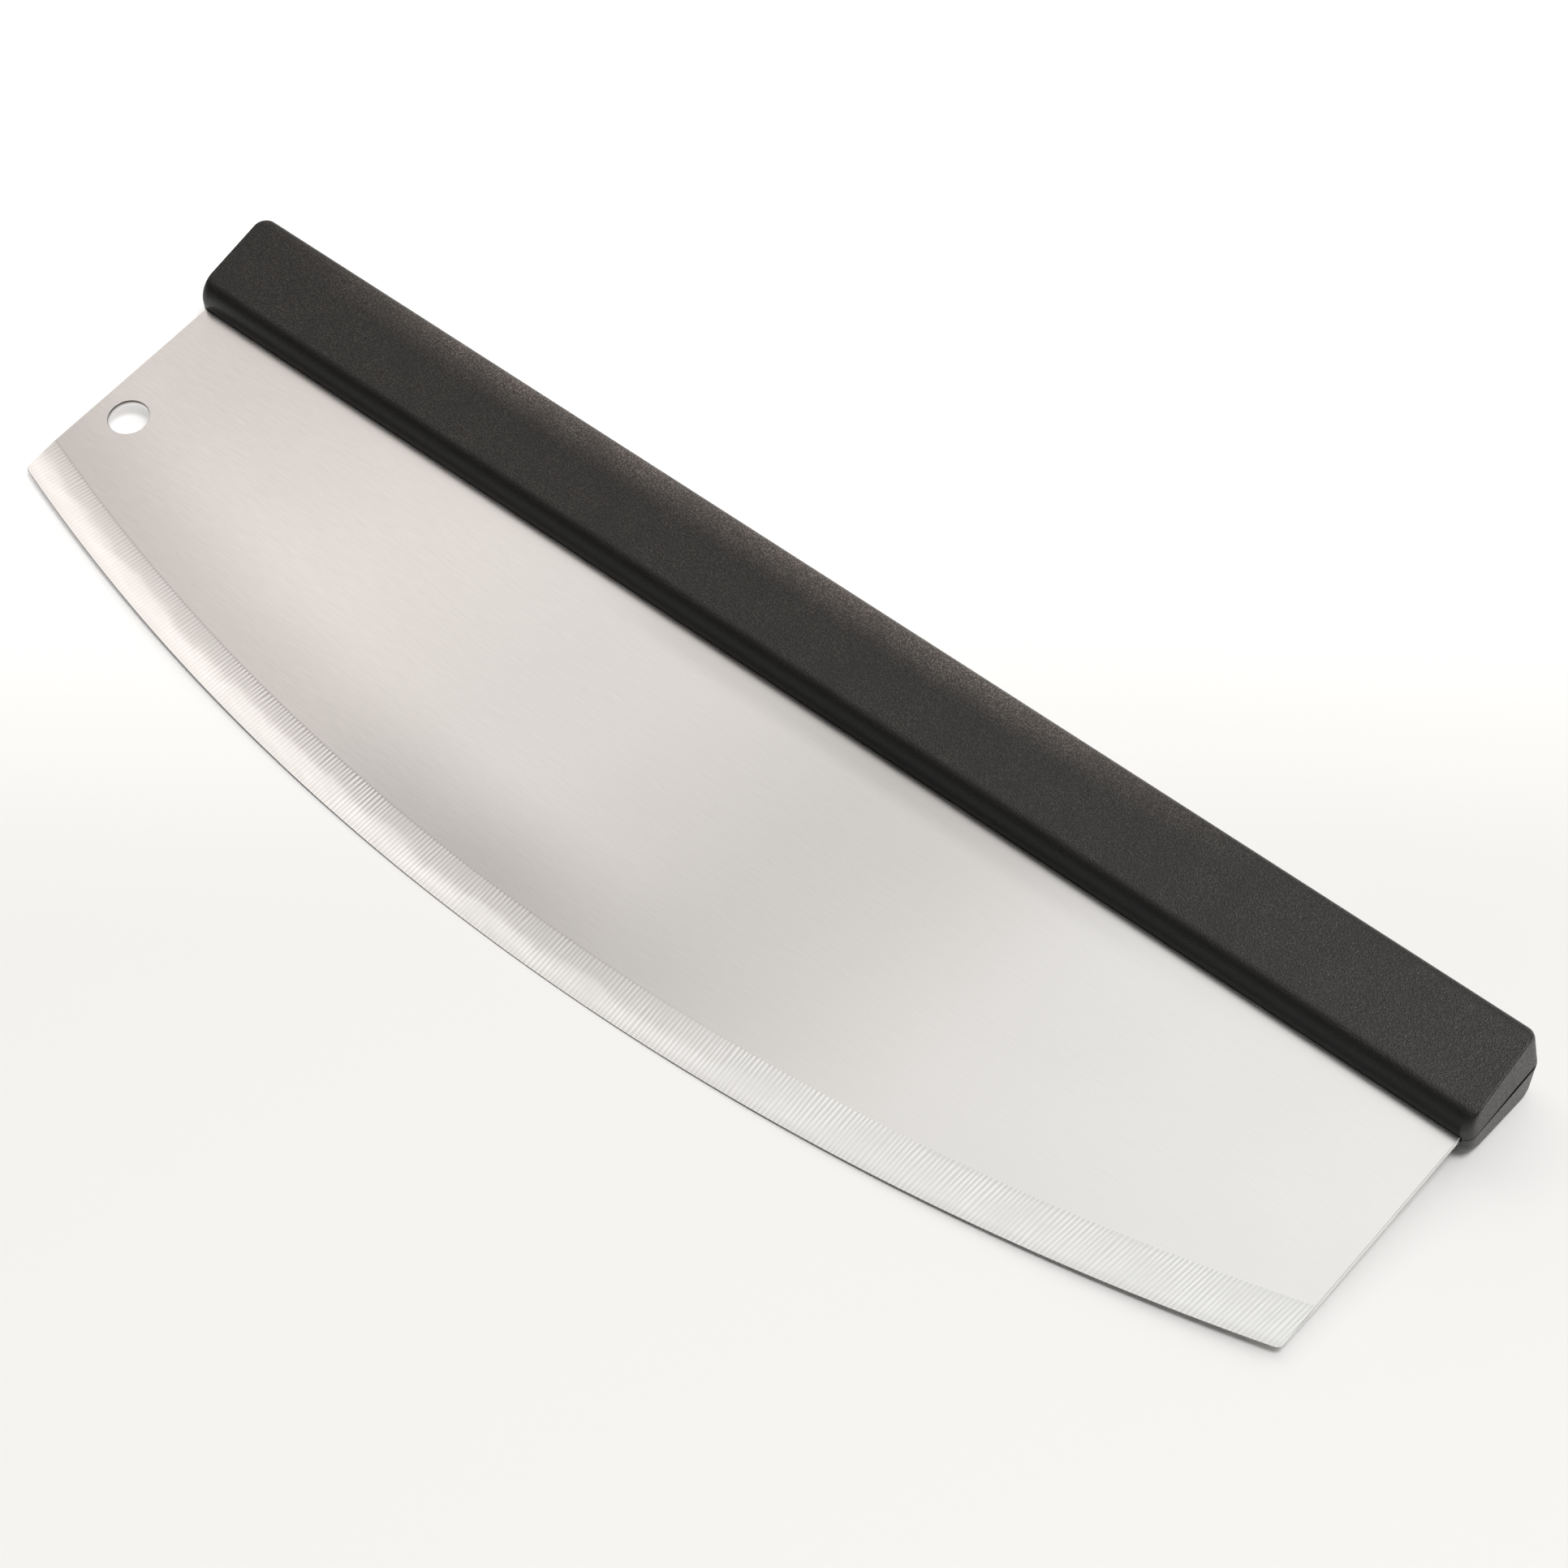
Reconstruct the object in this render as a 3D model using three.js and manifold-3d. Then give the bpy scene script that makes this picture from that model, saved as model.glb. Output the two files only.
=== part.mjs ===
// Rocker pizza cutter: a half-moon steel blade whose tang is pinned between the two moulded halves
// of a handle that runs along its whole top edge. Millimetres, +Z up, lying on its back on a table,
// with the hang hole at the -X end and the cutting edge towards -Y.
//
// The pieces are drawn in the blade's own frame: X along the blade, Y from the cutting edge to the
// spine of the handle, Z through the sheet. Y = 0 is the lip of the handle, Z = 0 the middle of the
// sheet. One group then tips them to the angle at which the cutter lies.

import * as THREE from 'three';
import { mergeVertices } from 'three/addons/utils/BufferGeometryUtils.js';
import Module from 'manifold-3d';

// Blade
const BLADE_LENGTH = 356;
const BLADE_SIDE_HEIGHT = 58.3; // lip of the handle to the corner of the cutting edge
const BLADE_BELLY_HEIGHT = 85; // lip of the handle to the lowest point of the cutting edge
const BLADE_THICKNESS = 1.5;
const BLADE_CORNER_RADIUS = 1.6;
const GRIND_WIDTH = 10; // ground on both sides of the sheet
const EDGE_THICKNESS = 0.3; // left at the bottom of the two grinds
const HANG_HOLE_DIAMETER = 9.7;
const HANG_HOLE_FROM_END = 8.9;
const HANG_HOLE_FROM_LIP = 33.8;

// Tang: the strip of the blade inside the handle
const SHOULDER_HEIGHT = 2; // how far the full length of the blade carries on past the lip
const TANG_HEIGHT = 16;
const TANG_INSET = 3; // the tang is this much shorter than the blade at each end
const TANG_CORNER_RADIUS = 4;

// Handle, made of two halves from one mould
const HANDLE_OVERHANG = 2.1; // past each end of the blade
const HANDLE_HEIGHT = 25;
const HANDLE_LIP_THICKNESS = 13; // both halves, before the corners are rounded
const HANDLE_SPINE_THICKNESS = 24; // both halves, before the corners are rounded
const MOULD_DRAFT_ANGLE = THREE.MathUtils.degToRad(4.6); // lean of the ends and of the spine
const LIP_RADIUS = 5;
const SPINE_RADIUS = 2.2;
const END_CORNER_RADIUS = 2;
const WALL = 2.4;
const LIP_WALL = 3;
const INSIDE_RADIUS = 0.5; // least round inside a half
const RIB_THICKNESS = 1.6;
const RIBS_PER_BAY = 3; // between one pin and the next

// Pins that hold the halves together through the tang
const PIN_COUNT = 6;
const PIN_DIAMETER = 4;
const PIN_CHAMFER = 0.5;
const PIN_FROM_TANG_END = 16;
const PIN_FROM_LIP = 9;
const BOSS_WALL = 2.2;
const BOSS_SKIN = 1.6; // left between the bottom of a pin's hole and the outside of the handle

// Clearances
const PARTING_GAP = 0.3; // between the rims of the two halves
const BLADE_CLEARANCE = 0.3; // between the blade and the halves, all round
const PIN_CLEARANCE = 0.3; // between a pin and the wall of each hole it sits in

// Facets
const EDGE_STEP = 3.7; // length of one facet of the cutting edge
const CORNER_STEPS = 8; // facets of a rounded corner
const HOLE_STEPS = 40;
const PIN_STEPS = 24;

// Values worked out from the sizes above
const bladeHalf = BLADE_LENGTH / 2;
const sagitta = BLADE_BELLY_HEIGHT - BLADE_SIDE_HEIGHT;
const edgeRadius = (bladeHalf ** 2 + sagitta ** 2) / (2 * sagitta);
const edgeCentreY = edgeRadius - BLADE_BELLY_HEIGHT;
const tangHalf = bladeHalf - TANG_INSET;
const handleHalf = bladeHalf + HANDLE_OVERHANG;
const draft = Math.tan(MOULD_DRAFT_ANGLE);
const lipHalf = HANDLE_LIP_THICKNESS / 2;
const taper = (HANDLE_SPINE_THICKNESS / 2 - lipHalf) / HANDLE_HEIGHT;
const pinPitch = (2 * (tangHalf - PIN_FROM_TANG_END)) / (PIN_COUNT - 1);
const pinHoleDiameter = PIN_DIAMETER + 2 * PIN_CLEARANCE;
const pinHoleDepth = faceHeight(PIN_FROM_LIP) - BOSS_SKIN; // from the middle of the sheet
const pinLength = 2 * (pinHoleDepth - PIN_CLEARANCE);
const wide = 2 * (BLADE_LENGTH + BLADE_BELLY_HEIGHT); // longer than any piece, for cutting tools

const wasm = await Module();
wasm.setup();

// Height of the handle's outer face above the middle of the sheet, at a distance from the lip.
function faceHeight(y) {
  return lipHalf + taper * y;
}

// Places along X, evenly spaced about the middle.
function evenly(count, pitch) {
  return Array.from({ length: count }, (_, index) => (index - (count - 1) / 2) * pitch);
}

function pinPlaces() {
  return evenly(PIN_COUNT, pinPitch);
}

// Ribs share each bay between two pins, and one more stands past each end pin.
function ribPlaces() {
  const pitch = pinPitch / (RIBS_PER_BAY + 1);
  const steps = (PIN_COUNT - 1) * (RIBS_PER_BAY + 1);
  const inBays = evenly(steps + 1, pitch).filter((_, index) => index % (RIBS_PER_BAY + 1) !== 0);
  const last = (pinPitch * (PIN_COUNT - 1)) / 2 + BOSS_WALL + PIN_DIAMETER;
  return [-last, ...inBays, last];
}

function corner(x, y, radius = 0) {
  return { at: new THREE.Vector2(x, y), radius };
}

// Points of a round between two sides. A side that is rounded at both ends gives half to each, so
// the round is limited by the side it runs along.
function cornerRound(here, before, after) {
  const toBefore = before.at.clone().sub(here.at);
  const toAfter = after.at.clone().sub(here.at);
  const roomBefore = toBefore.length() / (before.radius ? 2 : 1);
  const roomAfter = toAfter.length() / (after.radius ? 2 : 1);
  toBefore.normalize();
  toAfter.normalize();
  const slope = Math.tan(Math.acos(toBefore.dot(toAfter)) / 2);
  const tangent = Math.min(here.radius / slope, roomBefore, roomAfter);
  const bisector = toBefore.clone().add(toAfter).normalize();
  const centre = here.at.clone().addScaledVector(bisector, tangent * Math.hypot(1, slope));
  const first = here.at.clone().addScaledVector(toBefore, tangent).sub(centre);
  const last = here.at.clone().addScaledVector(toAfter, tangent).sub(centre);
  const sweep = Math.atan2(first.cross(last), first.dot(last));
  return Array.from({ length: CORNER_STEPS + 1 }, (_, step) =>
    first.clone().rotateAround(new THREE.Vector2(), (sweep * step) / CORNER_STEPS).add(centre),
  );
}

// A polygon with each corner rounded by its own radius.
function roundedOutline(corners) {
  return corners.flatMap((here, index) => {
    const before = corners.at(index - 1);
    const after = corners[(index + 1) % corners.length];
    return here.radius ? cornerRound(here, before, after) : [here.at];
  });
}

// Extrudes an outline by a depth, half to each side of its plane.
function plate(points, depth) {
  const geometry = new THREE.ExtrudeGeometry(new THREE.Shape(points), { depth, bevelEnabled: false });
  return geometry.translate(0, 0, -depth / 2);
}

function cylinder(diameter, length, steps) {
  const geometry = new THREE.CylinderGeometry(diameter / 2, diameter / 2, length, steps);
  return geometry.rotateX(Math.PI / 2);
}

// Turns a closed geometry into a solid that can be joined and cut.
function solid(geometry) {
  const bare = new THREE.BufferGeometry();
  bare.setAttribute('position', geometry.getAttribute('position'));
  bare.setIndex(geometry.getIndex());
  const merged = mergeVertices(bare);
  const index = Array.from(merged.getIndex().array);
  const triangles = [];
  for (let at = 0; at < index.length; at += 3) {
    const [a, b, c] = index.slice(at, at + 3);
    if (a !== b && b !== c && c !== a) {
      triangles.push(a, b, c);
    }
  }
  return new wasm.Manifold(
    new wasm.Mesh({
      numProp: 3,
      vertProperties: new Float32Array(merged.getAttribute('position').array),
      triVerts: new Uint32Array(triangles),
    }),
  );
}

function geometryOf(piece) {
  const { vertProperties, triVerts } = piece.getMesh();
  const geometry = new THREE.BufferGeometry();
  geometry.setAttribute('position', new THREE.BufferAttribute(vertProperties, 3));
  geometry.setIndex(new THREE.BufferAttribute(triVerts, 1));
  geometry.computeVertexNormals();
  return geometry;
}

function cutAll(piece, tools) {
  return tools.reduce((left, tool) => left.subtract(tool), piece);
}

// Tools for the pins' holes, which are the same in the tang and in the bosses.
function pinHoles(depth) {
  return pinPlaces().map((x) =>
    solid(cylinder(pinHoleDiameter, depth, PIN_STEPS).translate(x, PIN_FROM_LIP, 0)),
  );
}

// Outline of the tang and its shoulders, from one end of the lip over the top to the other, grown
// by a clearance all round.
function tangOutline(clearance) {
  const shoulderX = bladeHalf + clearance;
  const shoulderY = SHOULDER_HEIGHT + clearance;
  const tangX = tangHalf + clearance;
  const tangY = TANG_HEIGHT + clearance;
  const radius = TANG_CORNER_RADIUS + clearance;
  return [
    corner(shoulderX, shoulderY),
    corner(tangX, shoulderY),
    corner(tangX, tangY, radius),
    corner(-tangX, tangY, radius),
    corner(-tangX, shoulderY),
    corner(-shoulderX, shoulderY),
  ];
}

// Sides of the blade, with the round at each bottom corner running tangent into the cutting edge.
function bladeOutline() {
  const roundX = bladeHalf - BLADE_CORNER_RADIUS;
  const reach = edgeRadius - BLADE_CORNER_RADIUS;
  const roundY = edgeCentreY - Math.sqrt(reach ** 2 - roundX ** 2);
  const meetingAngle = Math.atan2(roundY - edgeCentreY, roundX);
  const round = new THREE.EllipseCurve(
    roundX,
    roundY,
    BLADE_CORNER_RADIUS,
    BLADE_CORNER_RADIUS,
    0,
    meetingAngle,
    true,
  );
  const rightSide = round.getPoints(CORNER_STEPS);
  const belowTheEdge = new THREE.Vector2(rightSide.at(-1).x, -2 * BLADE_BELLY_HEIGHT);
  rightSide.push(belowTheEdge);
  const leftSide = rightSide.map(({ x, y }) => new THREE.Vector2(-x, y));
  return [...roundedOutline(tangOutline(0)), ...leftSide, ...rightSide.reverse()];
}

// The blade is a slice of a disc with a ground rim, so both grinds and the edge are turned faces.
function bladeSolid() {
  const halfSheet = BLADE_THICKNESS / 2;
  const halfEdge = EDGE_THICKNESS / 2;
  const rim = [
    new THREE.Vector2(0, -halfSheet),
    new THREE.Vector2(edgeRadius - GRIND_WIDTH, -halfSheet),
    new THREE.Vector2(edgeRadius, -halfEdge),
    new THREE.Vector2(edgeRadius, halfEdge),
    new THREE.Vector2(edgeRadius - GRIND_WIDTH, halfSheet),
    new THREE.Vector2(0, halfSheet),
  ];
  const steps = Math.round((2 * Math.PI * edgeRadius) / EDGE_STEP);
  const disc = new THREE.LatheGeometry(rim, steps, Math.PI / steps);
  disc.rotateX(Math.PI / 2).translate(0, edgeCentreY, 0);
  const cutThrough = 2 * BLADE_THICKNESS;
  const blank = solid(disc).intersect(solid(plate(bladeOutline(), cutThrough)));
  const hangHole = cylinder(HANG_HOLE_DIAMETER, cutThrough, HOLE_STEPS);
  hangHole.translate(HANG_HOLE_FROM_END - bladeHalf, -HANG_HOLE_FROM_LIP, 0);
  return cutAll(blank, [solid(hangHole), ...pinHoles(cutThrough)]);
}

// Section of one half across its length: lip, tapered outer face and leaning spine. With walls it
// is the section of the hollow inside, which is open at the rim.
function halfSection(lipWall, wall, rim) {
  const faceDrop = wall * Math.hypot(1, taper);
  const spineY = HANDLE_HEIGHT - wall * Math.hypot(1, draft);
  const faceAtZero = faceHeight(0) - faceDrop;
  const topY = (spineY - draft * faceAtZero) / (1 + draft * taper);
  const within = (radius) => Math.max(radius - wall, INSIDE_RADIUS);
  return roundedOutline([
    corner(lipWall, rim),
    corner(spineY - draft * rim, rim),
    corner(topY, faceAtZero + taper * topY, within(SPINE_RADIUS)),
    corner(lipWall, faceAtZero + taper * lipWall, within(LIP_RADIUS)),
  ]);
}

// Runs a section, drawn as distance from the lip and height, along X.
function alongHandle(section, length) {
  const turn = new THREE.Matrix4().makeBasis(
    new THREE.Vector3(0, 1, 0),
    new THREE.Vector3(0, 0, 1),
    new THREE.Vector3(1, 0, 0),
  );
  return plate(section, length).applyMatrix4(turn);
}

// Block whose ends lean in with the mould's draft, as long as a half at the middle of the sheet.
function draftedEnds(half) {
  const top = HANDLE_SPINE_THICKNESS;
  const outline = [
    new THREE.Vector2(-half, 0),
    new THREE.Vector2(half, 0),
    new THREE.Vector2(half - draft * top, top),
    new THREE.Vector2(-half + draft * top, top),
  ];
  return plate(outline, wide).rotateX(Math.PI / 2);
}

function handleForm() {
  const plan = roundedOutline([
    corner(-handleHalf, 0, END_CORNER_RADIUS),
    corner(handleHalf, 0, END_CORNER_RADIUS),
    corner(handleHalf, HANDLE_HEIGHT, END_CORNER_RADIUS),
    corner(-handleHalf, HANDLE_HEIGHT, END_CORNER_RADIUS),
  ]);
  return solid(alongHandle(halfSection(0, 0, PARTING_GAP / 2), wide))
    .intersect(solid(draftedEnds(handleHalf)))
    .intersect(solid(plate(plan, wide)));
}

function handleHollow() {
  const ribs = ribPlaces().map((x) =>
    solid(new THREE.BoxGeometry(RIB_THICKNESS, wide, wide).translate(x, 0, 0)),
  );
  const bosses = pinPlaces().map((x) =>
    solid(cylinder(pinHoleDiameter + 2 * BOSS_WALL, wide, PIN_STEPS).translate(x, PIN_FROM_LIP, 0)),
  );
  const hollow = solid(alongHandle(halfSection(LIP_WALL, WALL, 0), wide));
  return cutAll(hollow.intersect(solid(draftedEnds(handleHalf - WALL))), [...ribs, ...bosses]);
}

// Room for the tang, open at the lip.
function tangSeat() {
  const top = tangOutline(BLADE_CLEARANCE);
  const belowTheLip = -HANDLE_HEIGHT;
  const leftMouth = corner(top.at(-1).at.x, belowTheLip);
  const rightMouth = corner(top[0].at.x, belowTheLip);
  const outline = roundedOutline([...top, leftMouth, rightMouth]);
  return solid(plate(outline, BLADE_THICKNESS + 2 * BLADE_CLEARANCE));
}

// One half, drawn as the front one. Turned over about Y it is the back one.
function handleHalfSolid() {
  return cutAll(handleForm(), [handleHollow(), tangSeat(), ...pinHoles(2 * pinHoleDepth)]);
}

function pinGeometry() {
  const radius = PIN_DIAMETER / 2;
  const half = pinLength / 2;
  const profile = [
    new THREE.Vector2(0, -half),
    new THREE.Vector2(radius - PIN_CHAMFER, -half),
    new THREE.Vector2(radius, PIN_CHAMFER - half),
    new THREE.Vector2(radius, half - PIN_CHAMFER),
    new THREE.Vector2(radius - PIN_CHAMFER, half),
    new THREE.Vector2(0, half),
  ];
  return new THREE.LatheGeometry(profile, PIN_STEPS).rotateX(Math.PI / 2);
}

// Angle at which the cutter lies, on the belly of its edge and the back of its handle.
function restTilt() {
  const angles = halfSection(0, 0, PARTING_GAP / 2).map((point) =>
    Math.atan2(point.y - EDGE_THICKNESS / 2, point.x + BLADE_BELLY_HEIGHT),
  );
  return Math.max(...angles);
}

function steel() {
  return new THREE.MeshStandardMaterial({ color: 0xd3d0cb, roughness: 0.32, metalness: 1 });
}

function pinSteel() {
  return new THREE.MeshStandardMaterial({ color: 0xb4b6b8, roughness: 0.25, metalness: 1 });
}

function blackPlastic() {
  return new THREE.MeshStandardMaterial({ color: 0x3a3836, roughness: 0.62, metalness: 0 });
}

function named(name, geometry, material) {
  const mesh = new THREE.Mesh(geometry, material);
  mesh.name = name;
  return mesh;
}

function assemble() {
  const cutter = new THREE.Group();
  cutter.add(named('blade', geometryOf(bladeSolid()), steel()));
  const halfGeometry = geometryOf(handleHalfSolid());
  cutter.add(named('handle_front_half', halfGeometry, blackPlastic()));
  const backHalf = named('handle_back_half', halfGeometry, blackPlastic());
  backHalf.rotation.y = Math.PI;
  cutter.add(backHalf);
  pinPlaces().forEach((x, index) => {
    const pin = named(`tang_pin_${index + 1}`, pinGeometry(), pinSteel());
    pin.position.set(x, PIN_FROM_LIP, 0);
    cutter.add(pin);
  });
  cutter.rotation.x = restTilt();
  return cutter;
}

// Stands the tipped cutter on Z = 0 with the middle of its box on the Z axis.
function onTable(cutter) {
  const box = new THREE.Box3().setFromObject(cutter, true);
  const middle = box.getCenter(new THREE.Vector3());
  cutter.position.set(-middle.x, -middle.y, -box.min.z);
  const part = new THREE.Group();
  part.add(cutter);
  part.updateMatrixWorld(true);
  return part;
}

export default onTable(assemble());
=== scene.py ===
"""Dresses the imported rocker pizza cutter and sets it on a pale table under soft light.

Every piece is drawn in the blade's own frame and then tipped to the angle at which the
cutter lies: X along the blade, Y from the cutting edge to the spine of the handle and Z
through the sheet, with the lip of the handle at Y = 0 and the middle of the sheet at Z = 0.
All lengths are metres.
"""

from __future__ import annotations

import logging
import math
from abc import ABC, abstractmethod
from dataclasses import dataclass, field
from enum import Enum
from typing import Any, Mapping, Sequence, Union

import bpy
from mathutils import Matrix, Vector

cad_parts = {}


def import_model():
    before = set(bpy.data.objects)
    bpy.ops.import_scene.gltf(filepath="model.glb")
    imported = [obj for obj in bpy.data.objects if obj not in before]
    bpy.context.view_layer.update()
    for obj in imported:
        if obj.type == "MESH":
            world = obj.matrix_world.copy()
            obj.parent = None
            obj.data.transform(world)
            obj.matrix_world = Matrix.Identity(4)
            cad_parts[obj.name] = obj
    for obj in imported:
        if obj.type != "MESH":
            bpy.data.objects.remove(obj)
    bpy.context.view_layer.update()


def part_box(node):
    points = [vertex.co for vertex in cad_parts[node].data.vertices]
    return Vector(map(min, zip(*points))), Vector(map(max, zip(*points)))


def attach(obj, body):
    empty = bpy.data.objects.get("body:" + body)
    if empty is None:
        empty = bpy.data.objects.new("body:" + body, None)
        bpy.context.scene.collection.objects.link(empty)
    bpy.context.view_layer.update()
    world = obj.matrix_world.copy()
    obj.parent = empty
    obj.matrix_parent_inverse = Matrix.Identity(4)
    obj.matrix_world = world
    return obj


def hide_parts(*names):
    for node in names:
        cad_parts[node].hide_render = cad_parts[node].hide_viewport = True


LOG = logging.getLogger("pizza_cutter")
MM = 0.001
# Brings the largest value of s * s * (1 - s), two thirds of the way along, to 1.
BOW_PEAK = 27 / 4
# Mean of noise that runs from 0 to 1.
NOISE_MEAN = 0.5
# Places of the two colours of a Mix node, and of the colour that it gives.
MIX_PAINTS = (6, 7)
MIX_RESULT = 2
# Map of the blade that the brushed lines follow.
LINE_MAP = "across_lines"
Colour = tuple[float, float, float]
Axis = tuple[float, float, float]
# Where a change starts and where it ends.
Span = tuple[float, float]
# Middle, reach and slant of a soft band.
Band = tuple[float, float, float]
Socket = bpy.types.NodeSocket
Paint = Union[Colour, Socket]


class Slot(str, Enum):
    """Material slot names, one for each kind of piece."""

    BLADE = "blade_steel"
    HANDLE = "handle_plastic"
    PIN = "pin_steel"


class Side(Enum):
    """The two halves of the handle, by the sign of their outer face."""

    FRONT = 1
    BACK = -1


class Value:
    """A number worked out by a node tree; arithmetic on it adds Math nodes to the tree."""

    def __init__(self, graph: "Graph", socket: Socket) -> None:
        """Keeps the tree and the socket that gives the number."""
        self.graph = graph
        self.socket = socket

    def __add__(self, other: "Number") -> "Value":
        """Sum."""
        return self.graph.math("ADD", self, other)

    def __radd__(self, other: "Number") -> "Value":
        """Sum."""
        return self.graph.math("ADD", other, self)

    def __sub__(self, other: "Number") -> "Value":
        """Difference."""
        return self.graph.math("SUBTRACT", self, other)

    def __rsub__(self, other: "Number") -> "Value":
        """Difference."""
        return self.graph.math("SUBTRACT", other, self)

    def __mul__(self, other: "Number") -> "Value":
        """Product."""
        return self.graph.math("MULTIPLY", self, other)

    def __rmul__(self, other: "Number") -> "Value":
        """Product."""
        return self.graph.math("MULTIPLY", other, self)

    def __truediv__(self, other: "Number") -> "Value":
        """Quotient."""
        return self.graph.math("DIVIDE", self, other)

    def __rtruediv__(self, other: "Number") -> "Value":
        """Quotient."""
        return self.graph.math("DIVIDE", other, self)

    def power(self, exponent: "Number") -> "Value":
        """This number raised to an exponent."""
        return self.graph.math("POWER", self, exponent)

    def root(self) -> "Value":
        """Square root, of nothing less than zero."""
        return self.graph.math("SQRT", self.at_least(0.0))

    def sine(self) -> "Value":
        """Sine of an angle in radians."""
        return self.graph.math("SINE", self)

    def cosine(self) -> "Value":
        """Cosine of an angle in radians."""
        return self.graph.math("COSINE", self)

    def size(self) -> "Value":
        """Absolute value."""
        return self.graph.math("ABSOLUTE", self)

    def sign(self) -> "Value":
        """Sign, as -1, 0 or 1."""
        return self.graph.math("SIGN", self)

    def whole(self) -> "Value":
        """Nearest whole number."""
        return self.graph.math("ROUND", self)

    def at_least(self, other: "Number") -> "Value":
        """The larger of two numbers."""
        return self.graph.math("MAXIMUM", self, other)

    def at_most(self, other: "Number") -> "Value":
        """The smaller of two numbers."""
        return self.graph.math("MINIMUM", self, other)

    def over(self, other: "Number") -> "Value":
        """1 where this number is larger than the other, and 0 elsewhere."""
        return self.graph.math("GREATER_THAN", self, other)

    def share(self, low: "Number", high: "Number") -> "Value":
        """How far this number is from low to high, held between 0 and 1."""
        return ((self - low) / (high - low)).at_least(0.0).at_most(1.0)

    def eased(self, low: float, high: float) -> "Value":
        """Like share, but with a smooth start and end."""
        node = self.graph.node(
            "ShaderNodeMapRange",
            {"Value": self, "From Min": low, "From Max": high},
            interpolation_type="SMOOTHSTEP",
        )
        return self.graph.value(node, "Result")


Number = Union[Value, float]
Source = Union[Value, Socket]
Inputs = Mapping[str, Value]


def blend(start: Number, end: Number, share: Number) -> Number:
    """The number a given share of the way from start to end."""
    return start + (end - start) * share


class Graph:
    """A node tree while it is being built."""

    def __init__(self, tree: bpy.types.NodeTree) -> None:
        """Starts from an empty tree.

        Args:
            tree: The shader or geometry tree to fill.
        """
        self.tree = tree
        self.tree.nodes.clear()

    def feed(self, socket: Socket, value: Any) -> None:
        """Links a socket to a value, or sets it to a constant.

        Args:
            socket: The input to feed.
            value: A Value, a socket, a list of sockets for a multiple input, or a constant.
        """
        if isinstance(value, Value):
            self.tree.links.new(value.socket, socket)
        elif isinstance(value, Socket):
            self.tree.links.new(value, socket)
        elif isinstance(value, list):
            for each in value:
                self.feed(socket, each)
        else:
            socket.default_value = value

    def node(
        self, kind: str, inputs: Mapping[Any, Any] | None = None, **settings: Any
    ) -> bpy.types.Node:
        """Adds a node.

        Args:
            kind: Blender's name for the type of node.
            inputs: What feeds each input, by name or place.
            settings: Properties of the node.

        Returns:
            The new node.
        """
        node = self.tree.nodes.new(kind)
        for name, value in settings.items():
            setattr(node, name, value)
        for key, value in (inputs or {}).items():
            self.feed(node.inputs[key], value)
        return node

    def value(self, node: bpy.types.Node, output: Any = 0) -> Value:
        """Wraps an output of a node, by name or place."""
        return Value(self, node.outputs[output])

    def math(self, operation: str, *numbers: Number) -> Value:
        """Adds a Math node that works on one or more numbers."""
        node = self.node("ShaderNodeMath", dict(enumerate(numbers)), operation=operation)
        return self.value(node)

    def vector(self, x: Number, y: Number, z: Number) -> Socket:
        """Joins three numbers into a vector."""
        return self.node("ShaderNodeCombineXYZ", {0: x, 1: y, 2: z}).outputs[0]

    def parts(self, vector: Socket) -> tuple[Value, Value, Value]:
        """Splits a vector into its three numbers."""
        node = self.node("ShaderNodeSeparateXYZ", {0: vector})
        return self.value(node, 0), self.value(node, 1), self.value(node, 2)

    def scaled(self, spot: Socket, size: Value) -> Socket:
        """A place, counted in units of a size."""
        x, y, z = self.parts(spot)
        return self.vector(x / size, y / size, z / size)

    def noise(self, spot: Socket, detail: float = 2.0, roughness: float = 0.5) -> Value:
        """Smooth noise about one unit across, with a given share of finer noise on it."""
        node = self.node(
            "ShaderNodeTexNoise",
            {"Vector": spot, "Scale": 1.0, "Detail": detail, "Roughness": roughness},
        )
        return self.value(node)

    def inputs(self, sockets: Mapping[str, str]) -> dict[str, Value]:
        """Gives the tree named inputs.

        Args:
            sockets: Socket type of each input, by name.

        Returns:
            The inputs, ready for use inside the tree.
        """
        for name, kind in sockets.items():
            self.tree.interface.new_socket(name=name, in_out="INPUT", socket_type=kind)
        node = self.node("NodeGroupInput")
        return {name: self.value(node, name) for name in sockets}

    def outputs(self, sources: Mapping[str, Source]) -> None:
        """Gives the tree named outputs.

        Args:
            sources: What feeds each output, by name.
        """
        for name, source in sources.items():
            kind = "NodeSocketFloat" if isinstance(source, Value) else source.bl_idname
            self.tree.interface.new_socket(name=name, in_out="OUTPUT", socket_type=kind)
        node = self.node("NodeGroupOutput")
        for name, source in sources.items():
            self.feed(node.inputs[name], source)


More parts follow.
